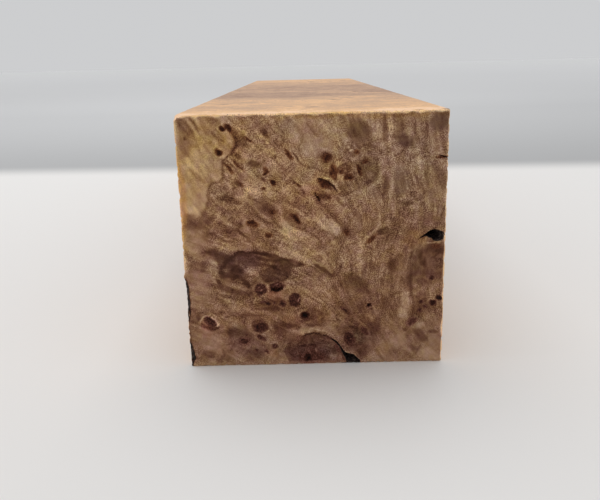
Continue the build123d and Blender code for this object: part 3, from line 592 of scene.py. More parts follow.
# Veins: tone, half width, strength and the points that the line runs through
VEINS = [
    # Streaks in the sapwood
    (186, 0.3, 0.5, [(2.4, 49.2), (3.4, 47.4), (4.2, 46)]),
    (178, 0.26, 0.45, [(4, 49), (5.2, 47), (6, 45.4)]),
    (178, 0.26, 0.45, [(5.9, 46.2), (7.2, 44.8), (8.2, 43.8)]),
    (188, 0.3, 0.5, [(1.6, 42), (2.6, 40.8), (3.4, 39.8)]),
    (172, 0.2, 0.4, [(3, 43.8), (4, 42.2), (5.2, 41)]),
    (176, 0.25, 0.45, [(1.2, 37.2), (2, 35.6), (2.6, 33.8)]),
    (104, 0.18, 0.85, [(5, 47.8), (5.8, 46.2), (6.4, 45)]),
    (98, 0.16, 0.85, [(6.6, 47), (7.4, 45.9), (7.9, 45.2)]),
    (106, 0.16, 0.8, [(7.4, 47.4), (8.2, 46.4), (8.9, 45.6)]),
    (122, 0.2, 0.6, [(3, 46.6), (3.8, 44.8), (4.4, 43.6)]),
    (118, 0.16, 0.75, [(5.2, 44.4), (6.2, 42.8), (6.8, 41.6)]),
    (122, 0.16, 0.7, [(4.2, 42), (5.4, 40.4), (6.2, 39.2)]),
    (124, 0.16, 0.7, [(2.6, 39.4), (3.8, 38.2), (4.8, 37.4)]),
    (118, 0.25, 0.6, [(0.8, 45.6), (1.6, 43.8), (2, 42.6)]),
    # Edge of the sapwood
    (64, 0.34, 0.92, [(10.5, 46.3), (11, 45.4), (11.15, 44.5), (10.7, 43.6), (10.2, 43)]),
    (82, 0.24, 0.78, [(10.2, 43), (9.4, 42.3), (8.7, 41.6), (8.4, 40.6), (8.4, 39.4), (8.3, 38)]),
    (90, 0.26, 0.68, [(8.3, 38), (7.9, 37.4), (6.2, 37.3), (5.7, 36.6), (5.4, 35), (5.1, 33.4)]),
    (104, 0.4, 0.7, [(5.2, 33.4), (4.6, 31.8), (3.9, 30.6), (2.4, 30.2)]),
    # Lids, slits and rims of the eyes
    # Black line under the lid of the open pith: painted shadow cast by the pit's upper rim.
    (16, 0.15, 0.98, [(26.5, 37.75), (27.4, 37.6), (28.3, 37.1), (29.1, 36.4), (29.8, 35.6)]),
    (172, 0.19, 0.85, [(27.4, 38.1), (28.7, 37.75), (29.6, 36.9), (30.2, 35.5)]),
    (18, 0.16, 0.95, [(25.6, 35.1), (26, 34.4), (26.5, 33.7)]),
    (16, 0.22, 0.98, [(16.65, 16), (17.3, 15.65), (18.1, 15.6), (18.9, 16.05)]),
    (206, 0.2, 0.92, [(4.6, 10.3), (5.2, 9.6), (5.6, 8.8), (5.5, 8.3)]),
    (172, 0.24, 0.88, [(2.1, 9.4), (2.5, 10.1), (3.2, 10.5), (4, 10.6)]),
    (58, 0.26, 0.85, [(3.6, 8.1), (4.6, 7.6), (5.6, 7.8)]),
    (78, 0.22, 0.7, [(1.4, 11.2), (2.5, 11.3), (3.7, 10.9), (4.8, 10.1)]),
    (44, 0.17, 0.92, [(23.2, 6.15), (24.6, 6.4), (25.8, 6.25), (27, 5.9), (28.4, 5.2)]),
    (52, 0.1, 0.8, [(25.6, 2.4), (26.8, 1.3), (28.2, 0.5)]),
    (62, 0.18, 0.5, [(19.9, 0.2), (19.2, 1.4), (18.85, 2.4), (19, 3.2)]),
    (70, 0.14, 0.6, [(19, 3.2), (19.8, 4.4), (21.2, 5.5), (23.2, 6.15)]),
    (60, 0.19, 0.82, [(22.3, 9), (23.2, 8.4), (24.5, 8), (26, 8.4), (27, 9.3)]),
    (44, 0.2, 0.8, [(20.2, 13.2), (20.6, 12.6), (21.4, 12.3), (22.1, 12.7)]),
    # Edges of lobes in the middle
    (94, 0.3, 0.75, [(23, 40.7), (24.2, 40.3), (25.6, 39.9), (27.2, 39.3), (28.5, 39)]),
    (84, 0.36, 0.85, [(26, 33.5), (27.4, 32.5), (28.5, 31.2), (29.6, 30), (30.6, 29), (31.2, 28.2)]),
    (68, 0.13, 0.85, [(20.1, 31.1), (20.6, 30.2), (21.4, 29.2), (22.4, 28.5), (23.4, 28.1)]),
    (90, 0.22, 0.8, [(23.2, 28.2), (24.4, 27.6), (25.6, 26.6), (26.4, 25.4), (27.1, 24.4)]),
    (100, 0.24, 0.65, [(25.6, 29.3), (26.6, 28.2), (28, 27.2), (29.6, 26.4), (31, 26.2)]),
    (98, 0.25, 0.6, [(27.1, 24.4), (27.8, 23), (28, 21.6), (28.6, 20.2)]),
    (96, 0.25, 0.65, [(31.4, 26.2), (30.6, 24.4), (29.8, 22.6), (29.6, 21), (29.4, 19.2)]),
    (90, 0.3, 0.7, [(30.2, 20.8), (30.3, 19.8), (29.8, 18.8)]),
    (78, 0.2, 0.7, [(24.6, 20.6), (26, 19.3), (27.6, 18.6), (29.2, 18.2)]),
    (150, 0.2, 0.65, [(24.4, 21.2), (26, 21), (27.6, 20.2), (28.6, 19.2)]),
    (146, 0.25, 0.6, [(17.2, 23.6), (18.8, 23), (20.6, 22.4), (22.6, 21.8), (24.2, 21.1)]),
    (52, 0.24, 0.88, [(9.8, 23.4), (11.4, 23.6), (13, 23.45), (14.6, 23.3), (16.2, 23)]),
    (56, 0.3, 0.75, [(9.9, 23.3), (9, 22.7), (8, 21.6), (7.1, 20.5), (6.5, 19.5)]),
    (92, 0.2, 0.7, [(11.7, 18.8), (12.6, 18.6), (13.6, 18.8)]),
    (80, 0.28, 0.75, [(6.2, 26.9), (7, 26.4), (7.8, 25.9), (9.6, 25.7)]),
    (86, 0.24, 0.7, [(10.4, 28.4), (11.4, 27.6), (12.6, 26.2), (13.4, 25), (14.4, 24.2)]),
    (94, 0.22, 0.65, [(13, 28.4), (14, 27.2), (15.4, 26), (16.8, 25)]),
    (90, 0.24, 0.7, [(12.8, 31.6), (14.2, 30.8), (15.2, 30), (16.8, 29.4)]),
    (86, 0.26, 0.7, [(13, 34.6), (15, 33.2), (16.4, 31.4), (17.8, 29.6), (19.2, 28.4)]),
    (96, 0.24, 0.6, [(19.6, 30.6), (20.4, 29.6), (21.6, 28.8), (23, 28.4)]),
    (84, 0.28, 0.65, [(18.9, 48.4), (19.4, 47.4), (20, 46.2)]),
    (90, 0.26, 0.6, [(24.6, 48), (25.3, 47), (26, 46.1)]),
    (96, 0.22, 0.5, [(23.8, 46.2), (23.4, 44.6), (22.8, 43.2)]),
    (88, 0.26, 0.65, [(30.9, 44.8), (31, 43.4), (31.8, 41.8), (32.2, 41)]),
    (80, 0.24, 0.7, [(33.4, 43.4), (35.2, 43.9), (37, 43.7), (38.4, 42.8)]),
    (150, 0.3, 0.6, [(33.8, 35), (36, 35.7), (37.8, 37.1), (38.3, 39.2)]),
    (84, 0.22, 0.7, [(37.4, 41.4), (37.6, 39.6), (37.1, 37.8), (36, 36.6)]),
    (82, 0.2, 0.7, [(41.2, 42), (42, 42.4), (42.7, 43.4)]),
    (88, 0.2, 0.75, [(38.5, 29), (39.5, 30.2), (41, 29.8)]),
    (122, 0.22, 0.6, [(45.1, 22.6), (45.6, 20.9), (46.7, 19.7)]),
    (156, 0.18, 0.7, [(35.3, 25.9), (36.6, 27.4), (37.9, 28.7)]),
    # Right side and foot
    (60, 0.12, 0.85, [(45.6, 25.6), (46.2, 26.1), (46.8, 26.5)]),
    (76, 0.3, 0.5, [(43.6, 16.4), (44.3, 18.2), (45.6, 19.2), (47.2, 18.7), (48.8, 17.9)]),
    (122, 0.22, 0.7, [(44.4, 16.6), (45, 17.8), (46, 18.2), (47.6, 17.2)]),
    (84, 0.3, 0.4, [(44.7, 20.4), (45.2, 22.2), (46.2, 23.8), (47.6, 24.6)]),
    (118, 0.2, 0.6, [(46.9, 22.4), (47.6, 21), (47.8, 19.6)]),
    (112, 0.16, 0.6, [(45.6, 18), (46.4, 17), (46.9, 16)]),
    (64, 0.22, 0.7, [(48.9, 21.9), (49.4, 20.8), (49.3, 19.6)]),
    (70, 0.2, 0.6, [(45.9, 23), (46.2, 21.6), (46.8, 20.4)]),
    (150, 0.14, 0.7, [(46.9, 25), (48.2, 24.8), (49.6, 24.9)]),
    (74, 0.22, 0.7, [(44.2, 15.4), (44.6, 13.4), (44.8, 11.2), (44.6, 9.6), (43.8, 8.4)]),
    (136, 0.16, 0.7, [(46.4, 2.9), (47.8, 2.2), (49.2, 1)]),
    (90, 0.2, 0.6, [(46.4, 3.4), (45.6, 1.8), (44.6, 0.8)]),
    (86, 0.25, 0.6, [(6.2, 3.2), (6.6, 2), (5.8, 0.8)]),
    (84, 0.25, 0.6, [(11, 10), (10.9, 8.8), (11.2, 7.8)]),
    (62, 0.2, 0.75, [(33.9, 3.9), (34.5, 5.2), (34.4, 6.6), (33.6, 7.4)]),
    (58, 0.15, 0.75, [(31.1, 6.6), (31.2, 5.6), (31, 4.6)]),
    (140, 0.16, 0.65, [(29.6, 9.8), (31, 9.2), (32.6, 8.2)]),
    (138, 0.14, 0.6, [(33, 9.6), (34.4, 8.4), (35.4, 7.8)]),
    (80, 0.22, 0.65, [(16.4, 9.6), (17.2, 9), (18.4, 8.6), (20, 8.3)]),
]

# Small pale glints inside the eyes: u, v, half length, half width, lean, tone
GLINTS = [
    (17.9, 16.9, 0.5, 0.13, 10, 160), (14.6, 15.8, 0.3, 0.12, 60, 150),
    (21.95, 13.6, 0.5, 0.16, 75, 152), (14.3, 16.4, 0.25, 0.1, 20, 122),
    (26.1, 34.7, 0.22, 0.1, -40, 185), (32.2, 5, 0.2, 0.18, 0, 104), (30.9, 39.9, 0.2, 0.16, 0, 138),
    (31.6, 39.2, 0.22, 0.16, 0, 148), (31.3, 40.1, 0.16, 0.14, 0, 146), (32.7, 43, 0.36, 0.24, 20, 176),
    (32.2, 43.7, 0.3, 0.22, 0, 170), (33.3, 44.1, 0.3, 0.2, -20, 164), (34, 43.3, 0.2, 0.22, 0, 150),
    (33.2, 42.6, 0.24, 0.2, 0, 70), (32, 42.9, 0.2, 0.2, 0, 80), (32.9, 44.6, 0.24, 0.18, 0, 82),
    (21.3, 14.3, 0.3, 0.1, 30, 100), (14.1, 8.2, 0.3, 0.12, 20, 92), (13.2, 8.6, 0.26, 0.1, 0, 96),
    (22, 30.2, 0.5, 0.06, -42, 74), (21.7, 29.8, 0.4, 0.06, -42, 68), (7.6, 43.1, 0.3, 0.06, -50, 66),
    (14.1, 7.6, 0.4, 0.3, 0, 66), (36.6, 9.7, 0.2, 0.18, 0, 162), (16.8, 3.85, 0.2, 0.16, 0, 108),
    (4.3, 9.5, 0.4, 0.2, -30, 62), (23.3, 10.6, 0.2, 0.3, 0, 44),
]

# Shifts of hue: u, v, half length, half width, lean, towards red, towards yellow
HUES = [
    # Upper left
    (11.7, 47.4, 1.8, 2.2, 0, 0.5, 1.3), (20.8, 47, 2.6, 2.2, 0, -0.7, -0.6),
    (6.5, 46, 4.5, 3.5, -35, 0.2, 1.2), (9.6, 44.6, 4, 2.4, 90, 0.5, 0.7),
    (11.5, 42.5, 1.8, 2.4, 0, 0.5, 0.4), (14, 42, 8, 9, 0, 0.4, 0.5),
    (23.4, 41.2, 1.6, 1.6, 0, 0.6, 0.6), (3, 40, 10, 6, 88, 0.2, 0.7), (14.3, 40, 1.8, 2.4, 0, -0.6, 0),
    (2.6, 39, 8.5, 3.2, 88, 0.7, 0.7), (3, 37, 4, 5, 0, -0.5, 0), (0.1, 36, 7, 1, 90, 0, -1.2),
    (24.6, 35.4, 2.2, 1.6, 0, 0.6, -0.8), (8, 34.8, 2, 1.8, 0, -0.6, -0.3), (0, 33, 1.1, 11, 0, 2, 3),
    (24, 32.5, 8, 5, 0, 0.3, 0.6), (24, 31, 7, 7, 0, 0.3, 0.2), (19.9, 28.4, 1.6, 1.6, 0, -0.9, -0.3),
    (12, 28, 10, 7, 0, 0.4, 0.5),
    # Upper right
    (34, 49.4, 18, 0.6, 0, 1, 1.6), (48.8, 48, 2.4, 2.2, 0, -1.6, -1.4),
    (41.4, 47.6, 2.4, 2.4, 0, 0.2, 0.8), (34, 46.5, 2.4, 2.4, 0, -0.5, 0.2),
    (26, 46, 5, 3.5, 0, -0.2, -0.6), (26, 46, 7, 3, 0, 0.2, 0.6), (42.8, 45, 2.2, 1.4, -40, -0.9, -1),
    (29.6, 44.4, 1.4, 1.6, 0, 0.5, 0.9), (38, 42, 16, 10, 0, -0.8, -0.4), (43, 41, 8, 9, 0, 0.1, -0.6),
    (46, 41, 3.6, 5, 0, -0.6, 0.1), (30, 39.5, 3, 2.6, 0, 1, 0.8), (35.8, 39, 2.4, 2.8, 0, -1, 0.4),
    (26.4, 38.2, 1.4, 1.4, 0, 0.8, 0.9), (35.4, 38, 1.6, 1.6, 0, 0.6, -0.7),
    (25.5, 37.5, 9, 4.5, 0, 0.3, 0.6), (46.6, 37.5, 3, 3, 0, 0.3, 0.6), (42, 37, 2, 3, 0, -1.2, -1.3),
    (42.2, 36.6, 2.4, 3, 0, 0.1, 0.9), (26.4, 36, 1.8, 2.2, 0, 0.5, 1),
    (29.3, 34.8, 1.4, 1.4, 0, 0.8, 0.1), (43.5, 32.8, 1.6, 0.8, 0, -0.8, 0.6),
    (49, 32, 6, 12, 0, -0.5, -0.2), (28.2, 28.6, 3, 1.8, -30, -0.6, -0.8),
    (47.6, 28.4, 1.8, 1.4, 0, 0.2, -0.8), (39.2, 27.4, 1.6, 0.9, 0, -0.7, 0.2),
    (44.5, 25.8, 2.6, 2.2, 0, 0.8, 1),
    # Lower left
    (11.5, 23, 5.5, 1.2, -8, -0.2, -0.9), (7.4, 22.8, 2.8, 1.3, -14, -1, -1.2),
    (11.5, 21.4, 3.6, 2.8, 0, -0.5, -1.5), (20, 21, 3, 0.8, -16, -1, 0.2),
    (9.8, 20.6, 5, 2.6, 0, -0.7, -1.1), (5.2, 20.2, 1.3, 2.2, 0, 0, 0.6),
    (5.6, 20, 3.2, 2.6, 0, -0.4, -0.6), (12.8, 19.4, 1.6, 1.2, 0, 0.8, 0.5),
    (17.6, 19, 2, 2, 0, -0.6, -1), (19.6, 18.8, 1.8, 1.8, 0, -0.7, -0.6),
    (2.4, 18, 3.4, 4, 0, 0.2, -0.7), (16.2, 15.4, 1.4, 1.4, 0, 1.1, 0.6),
    (17.4, 14.2, 1.6, 1.4, 0, 0.9, 0.3), (22, 12, 14, 5, 0, 0.5, 0.4), (3.2, 9, 1.4, 1.4, 0, 0.8, 0),
    (3.6, 9, 1.4, 1.4, 0, 1, 0.4), (20.8, 9, 2.4, 1.6, 0, 0.6, 0.4), (12, 8, 8, 6, 0, 0.3, 0),
    (3.1, 7.4, 1.4, 2.4, 0, 0.9, 0.3), (9.6, 6.6, 1.8, 2.2, 0, -1, -0.6),
    (19.6, 6.4, 3.6, 2, 0, 0.8, 0.3), (22.4, 5.8, 1.6, 1.4, 0, 0.7, 0.2), (4, 5, 5, 4.5, 0, 0.2, -0.2),
    (12, 3.5, 5, 3.5, 0, 0, -0.5), (12.6, 2.8, 1.8, 1.8, 0, -0.9, -0.1),
    (24, 2.6, 3.2, 1.8, 0, -0.6, -0.8), (16.4, 2.4, 1.2, 1.4, 0, 1, 0.5),
    (20.6, 2.4, 2, 1.6, 0, 0, -1.1), (24.8, 1, 6.4, 5.6, 0, 0, -1.2),
    # Lower right
    (26.5, 23.6, 4, 2.6, 0, 0.2, 0.7), (40, 22, 2.6, 2, 0, 0, 0.7), (47.8, 20.8, 3.4, 4.2, 0, 0.1, 0),
    (27, 20, 2.6, 1, -30, -0.6, 0.8), (44.8, 20, 1.8, 5, 0, -0.8, -0.4),
    (48, 20, 1.6, 2.6, 0, -0.1, -0.9), (32.6, 17.4, 2.8, 1.8, 0, -0.5, 0.6),
    (42.9, 12.4, 1.2, 3.2, 0, -0.3, -0.4), (25.4, 9.8, 2.4, 1.8, 0, 0.2, 0.4),
    (45.4, 9, 1.6, 1.6, 0, -0.8, -0.5), (36.4, 7.5, 2.6, 3.5, 0, 0.4, 0.2),
    (47.5, 6, 4, 5, 0, -0.2, -0.6), (34, 5.6, 1.2, 1.9, 0, -1.2, 0), (35, 5.6, 3, 1.6, 0, -0.5, -0.6),
    (32.2, 4.2, 1.4, 2.2, 0, 0, -0.9), (26, 3, 28, 6, 0, -0.35, -0.6),
    (25.8, 2.6, 4.6, 2.2, 0, -0.5, -1), (38.6, 2.6, 1.6, 1.4, 0, 0.5, 1.1),
    (28.2, 2.4, 1.8, 2.2, 0, -1, -0.6),
]


def lattice(points, seed):
    """A repeatable number from 0 to 1 for each whole-number point."""
    x, y, z = (part * factor for part, factor in zip(points.astype(np.int64).T, SCATTER))
    bits = (x + y + z + seed * SEED_SCATTER) & LONG_BITS
    bits = ((bits ^ (bits >> 13)) * SCATTER[2]) & LONG_BITS
    return ((bits ^ (bits >> 16)) & SHORT_BITS) / SHORT_BITS


def noise(points, size, seed):
    """Smooth noise from -1 to 1 at points (x, y, z), with features about one size apart."""
    scaled = points / size
    cell = np.floor(scaled)
    part = scaled - cell
    part = part * part * (3 - 2 * part)
    total = np.zeros(len(points))
    for corner in itertools.product((0, 1), repeat=3):
        weight = np.prod(np.where(corner, part, 1 - part), axis=1)
        total += weight * lattice(cell + corner, seed)
    return 2 * total - 1


def smooth_step(value, start, end):
    """Runs smoothly from 0 at start to 1 at end."""
    share = np.clip((value - start) / (end - start), 0, 1)
    return share * share * (3 - 2 * share)


def blend(old, new, weight):
    """Old where weight is 0, new where it is 1."""
    return old + (new - old) * weight


def ridge(value, middle, width):
    """1 where a value is at its middle, falling off smoothly to both sides."""
    return np.exp(-(((value - middle) / width) ** 2))


def patchy(flat, size, seed, none, full):
    """1 in scattered patches of the shown end and 0 between them."""
    return smooth_step(noise(flat, size, seed), none, full)


def figure_place(u, v):
    """Where places on the real end lie in the square that the figure is drawn on."""
    return FIGURE_FIT @ np.stack([np.ones_like(u), u, v])


def real_place(outline):
    """Where an outline that is drawn with the figure lies on the real end."""
    return (np.array(outline) - FIGURE_FIT[:, 0]) @ np.linalg.inv(FIGURE_FIT[:, 1:]).T


def end_place(points):
    """Places (u, v) on the shown end of points in the block."""
    return points[:, 0] - node_low[0], points[:, 2] - node_low[2]


def on_end(u, v):
    """Points (u, v) of the shown end as rows (u, v, 0), for noise."""
    return np.column_stack([u, v, np.zeros_like(u)])


def oval_place(u, v, at_u, at_v, lean):
    """Millimetres along and across a leaning oval from its middle."""
    turn = math.radians(lean)
    along = (u - at_u) * math.cos(turn) + (v - at_v) * math.sin(turn)
    across = (v - at_v) * math.cos(turn) - (u - at_u) * math.sin(turn)
    return along, across


def oval_distance(u, v, at_u, at_v, half_long, half_wide, lean):
    """Distance from the middle of a leaning oval, with 1 on its rim."""
    along, across = oval_place(u, v, at_u, at_v, lean)
    return np.hypot(along / half_long, across / half_wide)


def line_distance(u, v, points):
    """Distance in millimetres from a line through points."""
    nearest = np.full(len(u), np.inf)
    for (u0, v0), (u1, v1) in zip(points, points[1:]):
        du, dv = u1 - u0, v1 - v0
        share = np.clip(((u - u0) * du + (v - v0) * dv) / (du * du + dv * dv), 0, 1)
        nearest = np.minimum(nearest, np.hypot(u - u0 - share * du, v - v0 - share * dv))
    return nearest


def inside_share(u, v, outline, soft):
    """1 inside a closed outline and 0 outside it, with a soft edge."""
    closed = [*outline, outline[0]]
    inside = np.zeros(len(u), dtype=bool)
    for (u0, v0), (u1, v1) in zip(closed, closed[1:]):
        if v0 != v1:
            inside ^= ((v0 > v) != (v1 > v)) & (u < u0 + (v - v0) * (u1 - u0) / (v1 - v0))
    distance = line_distance(u, v, closed)
    return smooth_step(np.where(inside, distance, -distance), -soft, soft)


def grain_map():
    """The run of the grain on a grid over the shown end, as cosine and sine of twice its angle."""
    columns, rows = (np.arange(0, side + GRAIN_STEP, GRAIN_STEP) for side in (WIDTH, HEIGHT))
    u, v = (part.ravel() for part in np.meshgrid(columns, rows))
    strands = np.array(STRANDS, dtype=float)
    apart = (u[:, None] - strands[:, 0]) ** 2 + (v[:, None] - strands[:, 1]) ** 2
    turns = np.radians(2 * strands[:, 2])
    runs = np.column_stack([np.cos(turns), np.sin(turns)])
    doubled = np.exp(-apart / (2 * STRAND_REACH**2)) @ runs
    doubled /= np.linalg.norm(doubled, axis=1, keepdims=True)
    strength, ring, ring_width = ROUND_EYE
    for at_u, at_v, half_long, half_wide, lean, *_ in EYES:
        along, across = oval_place(u, v, at_u, at_v, lean)
        outward = np.arctan2(across / half_wide**2, along / half_long**2) + math.radians(lean)
        round_eye = -np.column_stack([np.cos(2 * outward), np.sin(2 * outward)])
        q = np.hypot(along / half_long, across / half_wide)
        near = strength * ridge(q, ring, ring_width)
        doubled = blend(doubled, round_eye, near[:, None])
    return doubled.reshape(len(rows), len(columns), 2)


def grain_angle(grain, u, v):
    """The angle of the grain at places between the points of its map."""
    column = np.clip(u / GRAIN_STEP, 0, grain.shape[1] - 1.001)
    row = np.clip(v / GRAIN_STEP, 0, grain.shape[0] - 1.001)
    left, low = column.astype(int), row.astype(int)
    right_share, up_share = (column - left)[:, None], (row - low)[:, None]
    below = blend(grain[low, left], grain[low, left + 1], right_share)
    above = blend(grain[low + 1, left], grain[low + 1, left + 1], right_share)
    cosine, sine = blend(below, above, up_share).T
    return np.arctan2(sine, cosine) / 2


def combed(grain, u, v, size, step, seed, turn=0.0):
    """Noise drawn out along the grain, or along lines turned from it, with a spread of 1."""
    total = noise(on_end(u, v), size, seed)
    for way in (turn, turn + math.pi):
        at_u, at_v = u, v
        heading = grain_angle(grain, u, v) + way
        for _ in range(COMB_STEPS):
            at_u = at_u + step * np.cos(heading)
            at_v = at_v + step * np.sin(heading)
            turned = grain_angle(grain, at_u, at_v) + turn
            heading = np.where(np.cos(turned - heading) < 0, turned + math.pi, turned)
            total = total + noise(on_end(at_u, at_v), size, seed)
    return total / total.std()


def wandered(flat, wander, first_seed):
    """Places (u, v) of the shown end, moved about by noise so that what is drawn there is uneven."""
    seeds = itertools.count(first_seed)
    moved = []
    for along in flat.T[:2]:
        for reach, size in wander:
            along = along + reach * noise(flat, size, next(seeds))
        moved.append(along)
    return moved


def patch_share(u, v, row):
    """1 inside one row's soft patch and 0 outside it."""
    soft = row[7]
    return 1 - smooth_step(oval_distance(u, v, *row[:5]), 1 - soft, 1 + soft)


def with_grounds(tone, wide, near, streak):
    """The tone with patches and areas laid over it in turn, and the share of fine fleck on each."""
    grounds = [(row[5:], patch_share(*wide, row)) for row in BROAD_PATCHES]
    grounds += [(row[:4], inside_share(*near, row[4], row[2])) for row in AREAS]
    grounds += [(row[5:], patch_share(*wide, row)) for row in PATCHES]
    fleck = np.ones_like(tone)
    for (ground, strength, _, share), covered in grounds:
        weight = strength * covered
        streaked = ground + STREAK_TONE * blend(STREAK_LEAST, 1, share) * streak
        tone = blend(tone, streaked, weight)
        fleck = blend(fleck, share, weight)
    return tone, fleck


def hues(flat, wide):
    """Shifts to red and yellow over the shown end, before its eyes."""
    red = HUE_SPREAD * (noise(flat, 3.0, seed=16) + noise(flat, 0.9, seed=35))
    yellow = HUE_SPREAD * (noise(flat, 4.0, seed=17) + 3 * noise(flat, 0.9, seed=36))
    for *oval, to_red, to_yellow in HUES:
        weight = 1 - smooth_step(oval_distance(*wide, *oval), *HUE_FADING)
        red = red + to_red * weight
        yellow = yellow + to_yellow * weight
    return red, yellow


def with_veins(tone, near, veins):
    """The tone again, with veins drawn over it."""
    for vein_tone, half_width, strength, points in veins:
        weight = strength * ridge(line_distance(*near, points), 0, half_width)
        tone = blend(tone, vein_tone, weight)
    return tone


def with_eyes(tone, fleck, red, yellow, flat, near, fibre):
    """The fields of the shown end with its eyes drawn in."""
    height_share = smooth_step(flat[:, 1], *EYE_HEIGHTS)
    eye_red = blend(*EYE_RED, height_share)
    eye_yellow = blend(*EYE_YELLOW, height_share)
    ragged = 1 + EYE_RAGGED * noise(flat, 0.7, seed=40)
    grit = EYE_GRIT * noise(flat, 0.45, seed=12) + EYE_FIBRE * fibre
    wander = RING_WANDER * noise(flat, 1.2, seed=39)
    bright, *halo = EYE_HALO
    dim, *halo_edge = EYE_HALO_EDGE
    for *oval, core, rim, soft in EYES:
        half_wide = oval[3]
        q = oval_distance(*near, *oval) * ragged
        if HALO_SPAN[0] < half_wide < HALO_SPAN[1] and soft < HALO_SOFT:
            tone = tone + bright * ridge(q, *halo) - dim * ridge(q, *halo_edge)
        weight = 1 - smooth_step(q, 1 - soft, 1 + soft)
        rings = EYE_RINGS * np.cos(RING_PACE * q + wander) * min(half_wide, 1)
        inside = blend(core, rim, smooth_step(q, *EYE_RIM)) + grit + rings
        tone = blend(tone, inside, weight)
        fleck = blend(fleck, EYE_FLECK, weight)
        if core < EYE_DARK:
            red = blend(red, eye_red, weight)
            yellow = blend(yellow, eye_yellow, weight)
    return tone, fleck, red, yellow


def edge_strips(u, v):
    """Strips along the arrises of the shown end, the pale ones at the top and sides painted highlight:
    distance from each, share, and its values.
    """
    above = smooth_step(v, *LEFT_CHANGE)
    right_width, right_tones, right_strength = RIGHT_HIGHLIGHT
    right = (right_width, blend(*right_tones, smooth_step(v, *RIGHT_CHANGE)), right_strength)
    return [
        (u, above, LEFT_HIGHLIGHT_WIDE), (HEIGHT - v, 1, TOP_HIGHLIGHT), (u, above, LEFT_HIGHLIGHT_THIN),
        (u, 1 - above, LEFT_DARK), (WIDTH - u, 1, right), (v, 1, FOOT_PALE),
    ]


def end_figure(real_u, real_v):
    """The figure of the shown end as named fields: tone, fleck, and shifts to red and yellow."""
    u, v = figure_place(real_u, real_v)
    flat = on_end(u, v)
    wide = wandered(flat, WIDE_WANDER, first_seed=1)
    near = wandered(flat, NEAR_WANDER, first_seed=5)
    grain = grain_map()
    fibre = combed(grain, u, v, *FIBRE)
    streak = np.tanh(STREAK_CRISP * combed(grain, u, v, *STREAK))
    streak = streak * (1 - STREAK_CALM * smooth_step(u, *CALM_ACROSS) * smooth_step(v, *CALM_DOWN))
    ripple = combed(grain, u, v, *RIPPLE, turn=math.pi / 2) * patchy(flat, *RIPPLE_PATCHY)
    contour = ridge(streak, *CONTOUR) * patchy(flat, *CONTOUR_PATCHY)
    fold = combed(grain, *near, *FOLD)
    folds = (ridge(fold, *FLANK) - 2 * ridge(fold, *CREASE)) * patchy(flat, *FOLD_PATCHY)
    mottle = noise(on_end(*wide), 1.7, seed=18) + MOTTLE_FINE * noise(on_end(*near), 0.8, seed=19)
    tone = GROUND_TONE + BROAD_TONE * noise(flat, 6.0, seed=9) + STREAK_TONE * streak
    tone, fleck = with_grounds(tone, wide, near, streak)
    tone = tone + blend(FIBRE_LEAST, 1, fleck) * FIBRE_TONE * fibre
    tone = tone + blend(LINE_LEAST, 1, fleck) * (RIPPLE_TONE * ripple - LINE_TONE * contour)
    tone = tone + blend(FOLD_LEAST, 1, fleck) * (MOTTLE_TONE * mottle + FOLD_TONE * folds)
    tone = with_veins(tone, near, VEINS)
    red, yellow = hues(flat, wide)
    tone, fleck, red, yellow = with_eyes(tone, fleck, red, yellow, flat, near, fibre)
    dark, pale = OVER_EYES
    tone = with_veins(tone, near, [row for row in VEINS if not dark <= row[0] <= pale])
    for *oval, glint in GLINTS:
        tone = blend(tone, glint, 1 - smooth_step(oval_distance(*near, *oval), *GLINT_FADING))
    # Pale strips along the top and side arrises: painted highlight where the eased arrises catch the
    # light.
    uneven = 1 + STRIP_UNEVEN * noise(flat, 1.3, seed=13)
    for at_edge, share, (strip, strip_tone, strength) in edge_strips(real_u, real_v):
        reach = strip * uneven
        weight = strength * share * (1 - smooth_step(at_edge, STRIP_CORE * reach, reach))
        tone = blend(tone, strip_tone, weight)
    return {"tone": tone / FULL_TONE, "fleck": fleck, "red": red, "yellow": yellow}


def block_mesh():
    """Vertices in millimetres and faces of the squared blank, finest on its shown end."""
    points = [end_grid(END_CELLS, FRONT)]
    faces = grid_faces(END_CELLS, 0, flip=False)
    ring = border(END_CELLS, 0)
    count = len(points[0])
    for distances, keep in ((FINE_RINGS, 1), (MIDDLE_RINGS, 2), (COARSE_RINGS, 2)):
        for index, distance in enumerate(distances):
            step = keep if index == 0 else 1
            corners = np.concatenate(points)[ring[::step]]
            corners[:, 1] = FRONT + distance
            new_ring = np.arange(count, count + len(corners))
            faces += band_faces(ring, new_ring)
            points.append(corners)
            count += len(corners)
            ring = new_ring
    back_cells = len(ring) // 4
    points.append(end_grid(back_cells, node_high[1]))
    faces += band_faces(ring, border(back_cells, count))
    faces += grid_faces(back_cells, count, flip=True)
    return np.concatenate(points), faces


def end_grid(cell_count, y):
    """Vertices of a square grid over one end, row by row from its foot."""
    steps = np.linspace(0, 1, cell_count + 1)
    x, z = np.meshgrid(node_low[0] + WIDTH * steps, node_low[2] + HEIGHT * steps)
    return np.column_stack([x.ravel(), np.full(x.size, y), z.ravel()])


def grid_faces(cells, first, flip):
    """Quads of a square grid of vertices that starts at number first."""
    wide = cells + 1
    faces = []
    for row, column in itertools.product(range(cells), repeat=2):
        corner = first + row * wide + column
        quad = (corner, corner + 1, corner + wide + 1, corner + wide)
        faces.append(quad[::-1] if flip else quad)
    return faces


def border(cells, first):
    """Vertex numbers round a square grid, anticlockwise from its lower left corner."""
    wide = cells + 1
    foot = list(range(cells))
    right = [row * wide + cells for row in range(cells)]
    top = [cells * wide + column for column in range(cells, 0, -1)]
    left = [row * wide for row in range(cells, 0, -1)]
    return np.array(foot + right + top + left) + first


